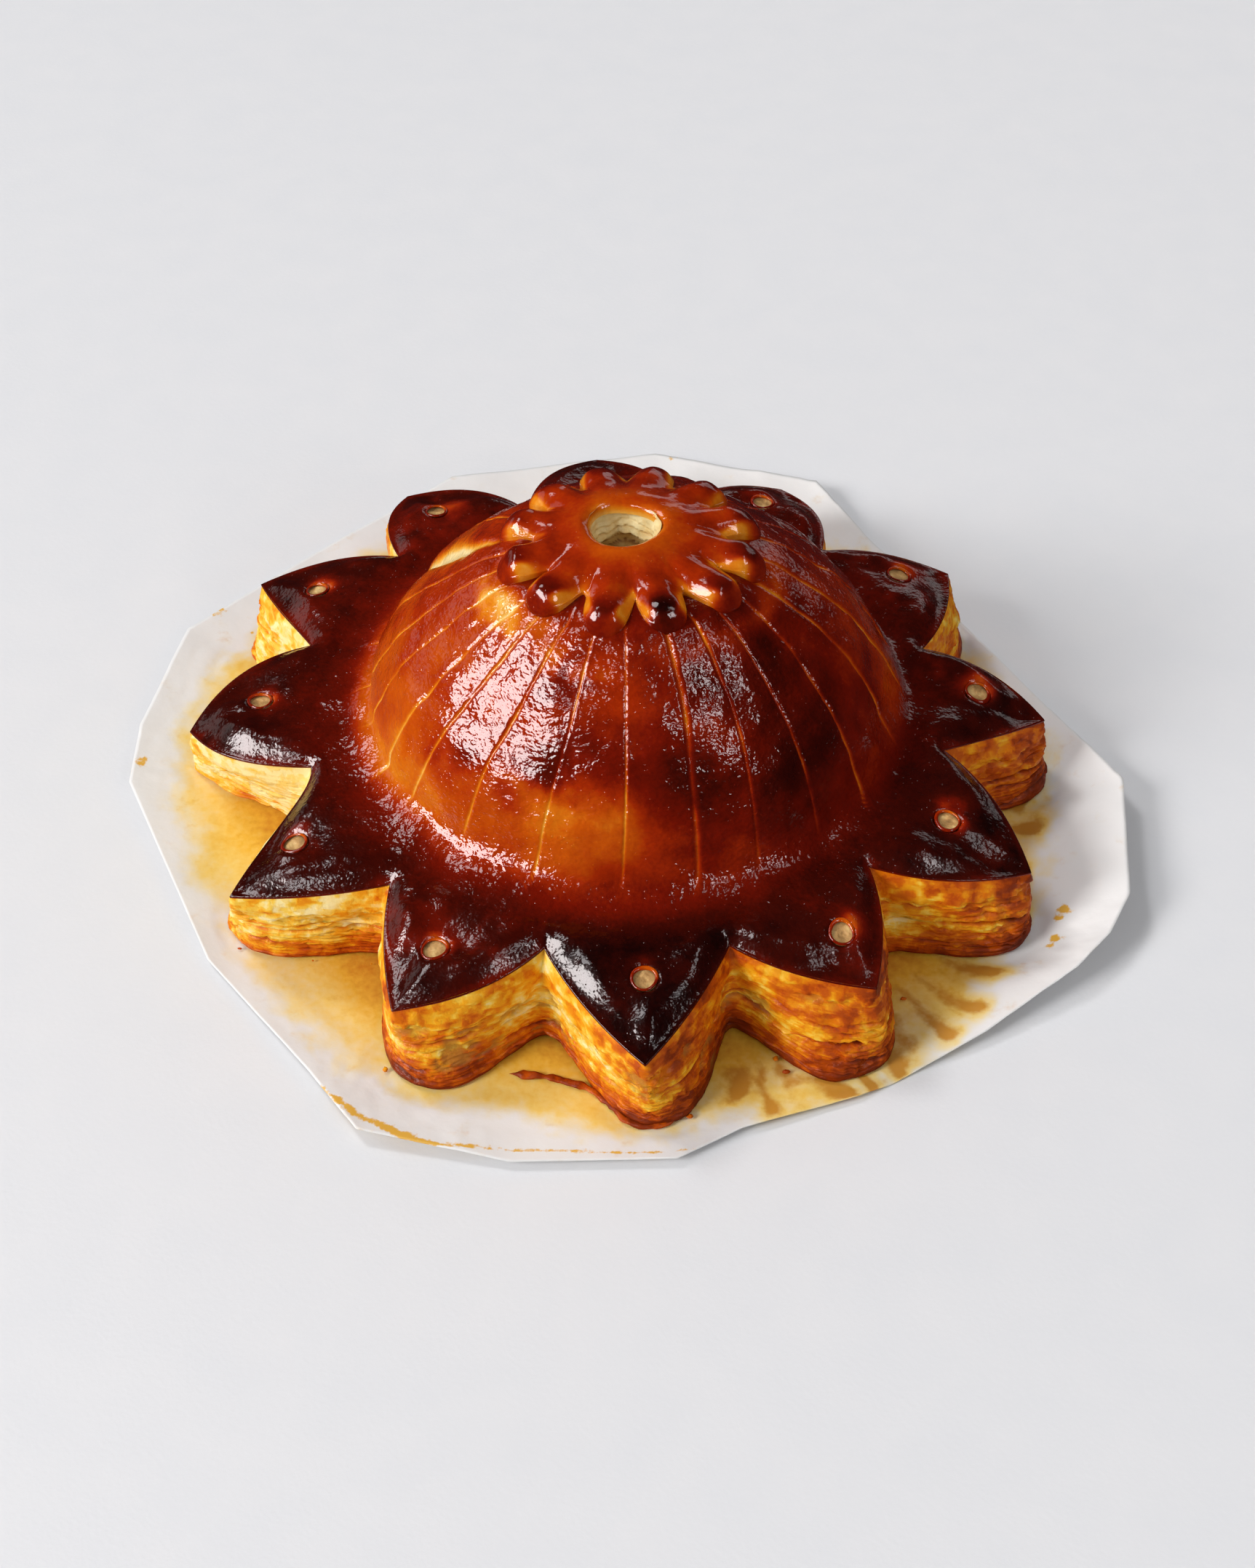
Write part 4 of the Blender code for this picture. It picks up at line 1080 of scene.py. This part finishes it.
paper = {
    # azimuth, reach and lift of each corner of the sheet
    "corners": [
        (-178.5, 1.170, 0.020), (-148.0, 1.075, 0.010), (-127.0, 1.095, 0.015), (-117.5, 1.170, 0.030),
        (-101.3, 1.130, 0.012), (-83.7, 1.107, 0.014), (-75.8, 1.055, 0.012), (-61.8, 1.066, 0.009),
        (-57.3, 1.072, 0.000), (-44.7, 1.110, 0.022), (-32.0, 1.185, 0.056),
        (-26.5, 1.214, 0.068), (-20.8, 1.225, 0.075), (-3.5, 1.190, 0.075),
        (11.5, 1.075, 0.030), (35.0, 1.045, 0.006), (52.0, 1.095, 0.020), (63.8, 1.215, 0.045),
        (85.5, 1.250, 0.020), (112.0, 1.240, 0.015), (134.0, 1.160, 0.010), (155.0, 1.220, 0.020),
        (172.0, 1.185, 0.020)],
    "cutColumns": 20, "rows": 46, "thickMm": 0.14, "flat": 0.94,
    "underPie": [0.02, 0.35, 0.62, 0.74], "seenFrom": 0.80,  # rows hidden by the pie, then the rest
    # how far out the butter has soaked, by azimuth
    "soak": [(-180, 1.085), (-172, 1.050), (-160, 1.042), (-150, 1.037), (-140, 1.039),
             (-131, 1.028), (-124, 1.045), (-117, 1.062), (-111, 1.045), (-101, 1.048),
             (-88, 1.052), (-75, 1.06), (-60, 1.075), (-50, 1.080), (-38, 1.045), (-28, 1.050),
             (-18, 1.025), (-5, 1.045), (3, 1.050), (20, 1.01), (40, 1.03), (60, 1.06),
             (90, 1.07), (120, 1.08), (150, 1.10), (172, 1.114)],
    # butter that has run out in fingers at the right front: azimuth, reach, half width in mm
    "runs": [(-3.0, 0.985, 4.0), (-9.0, 1.010, 4.0), (-17.0, 0.995, 4.0), (-23.0, 1.030, 4.0),
             (-30.0, 1.000, 4.0), (-38.5, 1.049, 2.2), (-44.0, 1.073, 2.4), (-48.5, 1.065, 2.0),
             (-53.3, 1.067, 2.5), (-60.4, 1.075, 3.0), (-65.0, 1.070, 2.6), (-70.0, 1.055, 2.8),
             (-75.0, 0.985, 5.0)],
    # caramel smears near the rim: azimuth, reach, half width in mm, how strong
    "smears": [(-124.3, 1.115, 1.0, 0.9), (-118.7, 1.135, 1.6, 1.0), (-116.1, 1.133, 1.4, 1.0),
               (-112.4, 1.139, 2.0, 1.2), (-110.0, 1.136, 1.2, 0.9), (-106.3, 1.117, 1.1, 1.0),
               (-101.7, 1.100, 0.9, 0.7), (-95.5, 1.084, 0.8, 0.8), (-89.1, 1.084, 0.9, 0.8),
               (-81.2, 1.088, 0.7, 0.5)],
    "spots": [(-23.3, 1.093, 2.2, 1.1), (-24.6, 1.090, 1.5, 1.0), (-27.7, 1.103, 1.8, 1.1),
              (-29.0, 1.100, 1.2, 0.9), (177.9, 1.150, 2.4, 1.0), (150.5, 1.19, 2.6, 0.9),
              (151.2, 1.080, 2.0, 0.7), (83.0, 1.235, 2.0, 0.8), (-33.5, 1.06, 1.4, 0.5),
              (-12.0, 1.02, 2.0, 0.5), (5.0, 1.0, 2.2, 0.5)],
}


def sheetRim():  # straight cuts from corner to corner
    corners = np.array(paper["corners"])
    x, y = onPlan(corners[:, 0], corners[:, 1])
    points = np.stack([x, y, corners[:, 2]], axis=-1)
    u = np.arange(paper["cutColumns"]) / paper["cutColumns"]
    cuts = points[:, None] + (np.roll(points, -1, axis=0) - points)[:, None] * u[None, :, None]
    return cuts.reshape(-1, 3).T


def footReachAt(azimuth):
    return np.interp(azimuth, footAzimuth[::-1], footReach[::-1], period=360.0)


def smearing(x, y):
    # the strongest of the smears, each a bell across the line to the next, and of the round spots
    smear = 0.0 * x
    points = np.array(paper["smears"])
    lineX, lineY = onPlan(points[:, 0], points[:, 1])
    for i in range(len(points) - 1):
        stepX, stepY = lineX[i + 1] - lineX[i], lineY[i + 1] - lineY[i]
        along = (x - lineX[i]) * stepX + (y - lineY[i]) * stepY
        u = np.clip(along / (stepX**2 + stepY**2), 0.0, 1.0)
        apart = np.hypot(x - lineX[i] - u * stepX, y - lineY[i] - u * stepY) / mm
        width, strong = (points[i, k] + (points[i + 1, k] - points[i, k]) * u for k in (2, 3))
        smear = np.maximum(smear, strong * bell(apart, 0.85 * width))
    for azimuth, radius, width, strong in paper["spots"]:
        spotX, spotY = onPlan(azimuth, radius)
        smear = np.maximum(smear, strong * bell(np.hypot(x - spotX, y - spotY) / mm, width))
    return smear


def makePaper():
    # flat under the pie, lift part^1.5 out to the rim, with shallow wrinkles where it is free
    rimX, rimY, lift = sheetRim()
    azimuth, rim = np.degrees(np.arctan2(rimY, rimX)), np.hypot(rimX, rimY)
    flat = np.minimum(np.maximum(footReachAt(azimuth) + 0.020, paper["flat"]), rim - 0.012)
    inner = np.array(paper["underPie"])[:, None] + 0.0 * rim
    part = np.linspace(0.0, 1.0, paper["rows"])[:, None]
    start = np.minimum(flat, paper["seenFrom"])
    outer = start + part * (rim - start)
    radius = np.concatenate([inner, outer])
    free = np.clip((radius - flat) / (rim - flat), 0.0, 1.0)
    x, y = onPlan(azimuth, radius)
    spot = np.stack([x, y, 0.0 * x], axis=-1)
    loose = smooth(0.0, 0.35, free) * (0.35 + 0.65 * smooth(0.0, 0.05, lift))
    wave = 0.45 * mottle(spot, 0.14, 121) + 0.22 * np.abs(mottle(spot, 0.055, 122))
    wave = wave + 0.10 * mottle(spot, 0.02, 123)
    height = lift * free**1.5 + (wave + 0.30) * loose * mm * 1.2
    height = np.maximum(height, 0.0)
    soak = np.array(paper["soak"])
    reachOut = np.interp(azimuth, soak[:, 0], soak[:, 1], period=360.0)
    butter = (reachOut - radius) / 0.034 + 0.9 * mottle(spot, 0.10, 124, 3)
    butter = butter + 0.35 * mottle(spot, 0.02, 125)
    # each run is a strip along its azimuth, darkest at its end
    streak, halo = 0.0 * x, 0.0 * x
    bent = azimuth + 3.0 * mottle(spot, 0.12, 126)
    broken, begun = mottle(spot, 0.04, 127), smooth(0.84, 0.93, radius)
    for runAzimuth, runReach, width in paper["runs"]:
        apart = np.radians(around(bent, runAzimuth)) * radius / mm
        length = radius - runReach + 0.012 * broken
        run = bell(apart, width) * begun * smooth(0.012, -0.020, length)
        streak = np.maximum(streak, run * (0.65 + 0.5 * bell(length + 0.03, 0.03)))
        wetted = bell(apart, 2.4 * width) * begun * smooth(0.035, -0.010, length)
        halo = np.maximum(halo, wetted)
    butter = np.maximum(butter, 3.2 * halo - 0.6)
    close = smooth(0.97, 0.80, radius)  # darker deep between the petals by the pie's foot: more soaking there, and painted shade
    # the same grid lies under itself, the paper's thickness below
    thick = paper["thickMm"] * mm
    traits = {"butter": butter, "smear": smearing(x, y), "streak": streak, "close": close}
    traits = {trait: np.concatenate([grid, grid[::-1]]) for trait, grid in traits.items()}
    x, y = np.concatenate([x, x[::-1]]), np.concatenate([y, y[::-1]])
    height = np.concatenate([height + thick, height[::-1]])
    faces = gridFaces(len(x), x.shape[1])
    piece = newMesh("bakingPaper", place(x, y, height), faces, traits, flip=True)
    print("paper:", len(piece.data.polygons), "faces")
    return piece


soaking = [  # paper, dry to soaked
    (0.00, (0.79, 0.782, 0.765)), (0.12, (0.80, 0.74, 0.60)), (0.30, (0.83, 0.69, 0.38)),
    (0.50, (0.85, 0.60, 0.15)), (0.65, (0.80, 0.47, 0.045)), (0.85, (0.56, 0.19, 0.010)),
    (1.00, (0.34, 0.09, 0.005)),
]


def paperMaterial(name):
    # colour: warm white to soaked gold where butter is above 0, darker near the pie's foot as painted
    # shade with the soaking, with ochre runs and smears broken by noise; height: fine crinkles and paper
    # grain
    sheet = Recipe(name, 0.45, IOR=1.4)
    fibre = sheet.noise(500.0, 4.0)
    blot = sheet.noise(150.0, 5.0)
    cloud = sheet.noise(45.0, 3.0)
    broken = sheet.noise(420.0, 5.0, roughness=0.65)
    butter = sheet.trait("butter") + (blot - 0.5) * 2.4
    wet = butter.rise(-0.5, 2.2)
    soaked = wet * 0.475 + (fibre - 0.5) * 0.26 * wet + (cloud - 0.5) * 0.55 * wet
    # painted shade near the pie's foot, on top of the soaking
    soaked = soaked + sheet.trait("close") * 0.27 * wet
    streaks = (sheet.trait("streak") + (blot - 0.5) * 1.1 + (fibre - 0.5) * 0.5).rise(0.12, 0.75)
    caramel = (sheet.trait("smear") * 1.25 + (broken - 0.62) * 2.6).rise(0.25, 0.75)
    colour = sheet.ramp(soaked, soaking)
    colour = sheet.blend(streaks * 0.92, colour, (0.56, 0.24, 0.022, 1.0))
    colour = sheet.blend(caramel * 0.95, colour, (0.76, 0.40, 0.010, 1.0))
    rough = soaked.rise(0.0, 0.6, 0.55, 0.36)
    skin = fibre * 0.5 + sheet.noise(60.0, 3.0) * 1.5
    return sheet.feed(Base_Color=colour, Roughness=rough, Normal=sheet.bumped(skin, 0.0004, 0.35))


# the thread of caramelised pastry on the paper: reach and azimuth along it
thread = {
    "path": [(0.907, -104.8), (0.902, -102.6), (0.899, -100.2), (0.904, -97.3), (0.913, -94.6),
             (0.938, -92.0), (0.968, -90.6), (0.998, -89.3), (1.016, -87.0), (1.010, -84.0),
             (0.975, -81.6), (0.930, -79.5)],
    "segments": 130, "sides": 10, "wideMm": 1.05, "tallMm": 0.42, "lift": 0.0050, "tone": 0.60,
}


def makeThread():
    # a flattened tube along a soft path, its width and height wavering with noise
    nodes = np.array(thread["path"])
    x, y = onPlan(nodes[:, 1], nodes[:, 0])
    path = softenedPath(np.stack([x, y], axis=-1), thread["segments"], 0.02)
    along = np.gradient(path, axis=0)
    along /= np.linalg.norm(along, axis=1, keepdims=True)
    u = np.linspace(0.0, 1.0, thread["segments"])
    spot = np.concatenate([path, 0.0 * path[:, :1]], axis=1)
    thin = np.clip(np.minimum(u / 0.06, (1.0 - u) / 0.10), 0.05, 1.0)
    wide = thread["wideMm"] * (0.9 + 0.45 * mottle(spot, 0.02, 131)) * thin * mm
    tall = thread["tallMm"] * (0.9 + 0.5 * mottle(spot, 0.016, 132)) * thin * mm
    ring = np.linspace(0.0, 2.0 * np.pi, thread["sides"], endpoint=False)
    ragged = 1.0 + 0.22 * np.cos(3.0 * ring + 30.0 * u[:, None])
    out = wide[:, None] * np.cos(ring) * ragged
    up = thread["lift"] + tall[:, None] * (0.6 + np.sin(ring) * ragged)
    px = path[:, :1] - along[:, 1:] * out
    py = path[:, 1:] + along[:, :1] * out
    faces = tubeFaces(thread["segments"], thread["sides"])
    piece = newMesh("caramelThread", place(px, py, up), faces, {
        "bake": thread["tone"] + 0.12 * mottle(spot, 0.03, 133)[:, None] + 0.0 * out})
    print("thread:", len(piece.data.polygons), "faces")
    return piece


crumbs = {
    "count": 46, "seed": 19, "columns": 7, "rows": 6, "sizeMm": (0.25, 0.75), "tone": (0.28, 0.56),
    "lift": 0.0052, "foot": 0.0050,
}


def makeCrumbs():
    # flattened lumpy balls on the paper round the pie, half as high as wide
    rng = np.random.default_rng(crumbs["seed"])
    count = crumbs["count"]
    azimuth = rng.uniform(-180.0, 180.0, count)
    far = footReachAt(azimuth) + 0.015 + 0.09 * rng.beta(1.0, 2.2, count)
    x, y = onPlan(azimuth, np.minimum(far, 1.0))
    size = rng.uniform(*crumbs["sizeMm"], count) * mm
    latitude = np.linspace(0.5 * np.pi, -0.5 * np.pi, crumbs["rows"])[1:-1]
    longitude = -np.arange(crumbs["columns"]) * 2.0 * np.pi / crumbs["columns"]
    lump = rng.uniform(0.7, 1.3, (count, len(latitude), len(longitude)))
    stretch = rng.uniform(0.8, 1.7, count)[:, None, None]
    away = size[:, None, None] * lump
    level = away * np.cos(latitude)[:, None]
    px = x[:, None, None] + level * np.cos(longitude) * stretch
    py = y[:, None, None] + level * np.sin(longitude)
    pz = crumbs["lift"] + away * 0.5 * (np.sin(latitude)[:, None] + 1.0)
    highLow = np.stack([crumbs["lift"] + size, crumbs["foot"] + 0.0 * size], axis=-1)
    poles = place(x[:, None], y[:, None], highLow)
    points = np.concatenate([place(px, py, pz).reshape(count, -1, 3), poles], axis=1)
    each, columns = points.shape[1], len(longitude)
    band = gridFaces(len(latitude), columns)
    top = fanFaces(0, columns, each - 2)
    bottom = fanFaces((len(latitude) - 1) * columns, columns, each - 1, upward=False)
    bands = repeated(band, count, each)
    ends = repeated(np.concatenate([top, bottom]), count, each)
    tone = np.broadcast_to(rng.uniform(*crumbs["tone"], count)[:, None], (count, each))
    piece = newMesh("crumbs", points, [bands, ends], {"bake": tone})
    print("crumbs:", count)
    return piece


studio = {
    "table": 1.5, "below": 0.0002,  # half its width, and how far under the paper it lies
    "azimuth": -90.0, "elevation": 45.92, "distance": 0.6036, "target": (0.0023, 0.0, -0.0019),
    "lensMm": 50.0, "filmMm": 36.0,
    "aim": 0.03,  # how high up the pie the lights point
    # azimuth and elevation as seen from the pie, distance, width and height, watts, colour,
    # and whether matt surfaces and reflections see it
    "lights": [
        ("keySoftbox", -155.0, 31.0, 9.0, 3.0, 3.0, 610.0, (1.0, 0.985, 0.985), True, False),
        ("keyGleam", -160.0, 31.0, 3.0, 2.1, 1.30, 255.0, (1.0, 0.94, 0.93), False, True),
        ("sideGleam", -130.0, 50.0, 3.0, 0.42, 0.42, 11.0, (0.98, 0.94, 0.95), False, True),
        ("backSoftbox", 138.0, 50.0, 6.0, 1.2, 1.2, 98.0, (0.985, 0.98, 0.995), True, False),
        ("backGleam", 154.0, 50.0, 3.0, 1.0, 0.8, 30.0, (0.98, 0.94, 0.95), False, True),
        ("frontFill", -50.0, 31.0, 3.0, 0.50, 0.50, 7.0, (1.0, 0.98, 0.98), True, False),
        ("highGleam", -20.0, 58.0, 3.0, 0.6, 0.6, 7.5, (0.98, 0.94, 0.95), False, True),
        ("leftAir", 150.0, 12.0, 3.0, 2.0, 0.8, 4.5, (1.0, 0.95, 0.93), False, True),
        ("backAir", 66.0, 11.0, 3.0, 2.4, 0.7, 6.0, (1.0, 0.95, 0.95), False, True),
        ("frontGleam", -44.0, 40.0, 3.0, 0.5, 1.0, 26.0, (0.98, 0.94, 0.95), False, True),
    ],
    # what the air gives to matt surfaces, to reflections and to the view past the table
    "air": [(0.372, 0.369, 0.377), (0.010, 0.010, 0.012), (0.78, 0.79, 0.80)],
}


def makeFloor():
    corners = np.array([(-1, -1), (1, -1), (1, 1), (-1, 1)]) * studio["table"]
    points = np.insert(corners, 2, -studio["below"], axis=1)
    floor = newMesh("paleTable", points, np.array([(0, 1, 2, 3)]), {})
    table = Recipe("paleTable", 0.55)
    tint = table.ramp(table.noise(60.0, 4.0), [
        (0.3, (0.765, 0.775, 0.79)), (0.7, (0.785, 0.79, 0.80))])
    grain = table.bumped(table.noise(700.0, 3.0), 0.0002, 0.25)
    floor.data.materials.append(table.feed(Base_Color=tint, Normal=grain))
    floor.visible_glossy = False
    print("table")


def aimed(obj, azimuth, elevation, distance, target):  # stands off the target and faces it
    up = math.radians(elevation)
    level = onPlan(azimuth, math.cos(up))
    way = np.array([*level, math.sin(up)])
    obj.location = np.array(target) + distance * way
    obj.rotation_mode = "QUATERNION"
    obj.rotation_quaternion = mathutils.Vector(way).to_track_quat("Z", "Y")


def makeStudio():
    for name, azimuth, elevation, distance, width, depth, watts, colour, matt, mirrored in (
        studio["lights"]
    ):
        light = bpy.data.lights.new(name, "AREA")
        light.shape = "RECTANGLE"
        light.size, light.size_y, light.energy, light.color = width, depth, watts, colour
        lamp = placed(name, light)
        aimed(lamp, azimuth, elevation, distance, (axisX, axisY, studio["aim"]))
        lamp.visible_diffuse, lamp.visible_glossy, lamp.visible_camera = matt, mirrored, False
    world = bpy.data.worlds.new("studioAir")
    world.use_nodes = True
    bpy.context.scene.world = world
    tree = world.node_tree
    seen = tree.nodes.new("ShaderNodeLightPath")
    colour = tree.nodes.new("ShaderNodeMix"), tree.nodes.new("ShaderNodeMix")
    matt, mirrored, beyond = ((*tone, 1.0) for tone in studio["air"])
    for mix, ray, tone in zip(colour, ("Is Glossy Ray", "Is Camera Ray"), (mirrored, beyond)):
        mix.data_type = "RGBA"
        mix.inputs[7].default_value = tone
        tree.links.new(seen.outputs[ray], mix.inputs[0])
    colour[0].inputs[6].default_value = matt
    tree.links.new(colour[0].outputs[2], colour[1].inputs[6])
    tree.links.new(colour[1].outputs[2], tree.nodes["Background"].inputs["Color"])
    lens = bpy.data.cameras.new("view")
    lens.lens, lens.sensor_width = studio["lensMm"], studio["filmMm"]
    camera = placed("view", lens)
    target = np.array(studio["target"]) + (axisX, axisY, axisZ)
    aimed(camera, studio["azimuth"], studio["elevation"], studio["distance"], target)
    bpy.context.scene.camera = camera
    bpy.context.scene.view_settings.view_transform = "Standard"
    print("lights:", len(studio["lights"]), "and camera")


makeFloor()
makeStudio()
glaze = glazeMaterial("bakedGlaze", 0.15, 0.18)
rosetteGlaze = glazeMaterial("rosetteGlaze", 0.10, 0.07)
dough = doughMaterial("bakedDough", toasting)
crumb = doughMaterial("tornDough", crumbing, layered=False)
print("glaze and dough finishes")
crustPiece = finished(makeCrust(), glaze, "glazed_crust", "pastry_pie")
walls, wallGrid = makeSides()
finished(walls, dough, "glazed_crust", "pastry_pie")
finished(makeLeaves(wallGrid), dough, "glazed_crust", "pastry_pie")
holeRims, holeFloors = makeHoles(crustPiece)
finished(holeRims, rosetteGlaze, "glazed_crust", "pastry_pie")
finished(holeFloors, crumb, "glazed_crust", "pastry_pie")
finished(makeRosette(), rosetteGlaze, "glazed_rosette", "dough_rosette")
finished(makeVent(), crumb, "glazed_crust", "pastry_pie")
finished(makePaper(), paperMaterial("butteredPaper"), "buttered_paper", "baking_paper")
finished(makeThread(), dough, "glazed_crust")
finished(makeCrumbs(), dough, "glazed_crust")
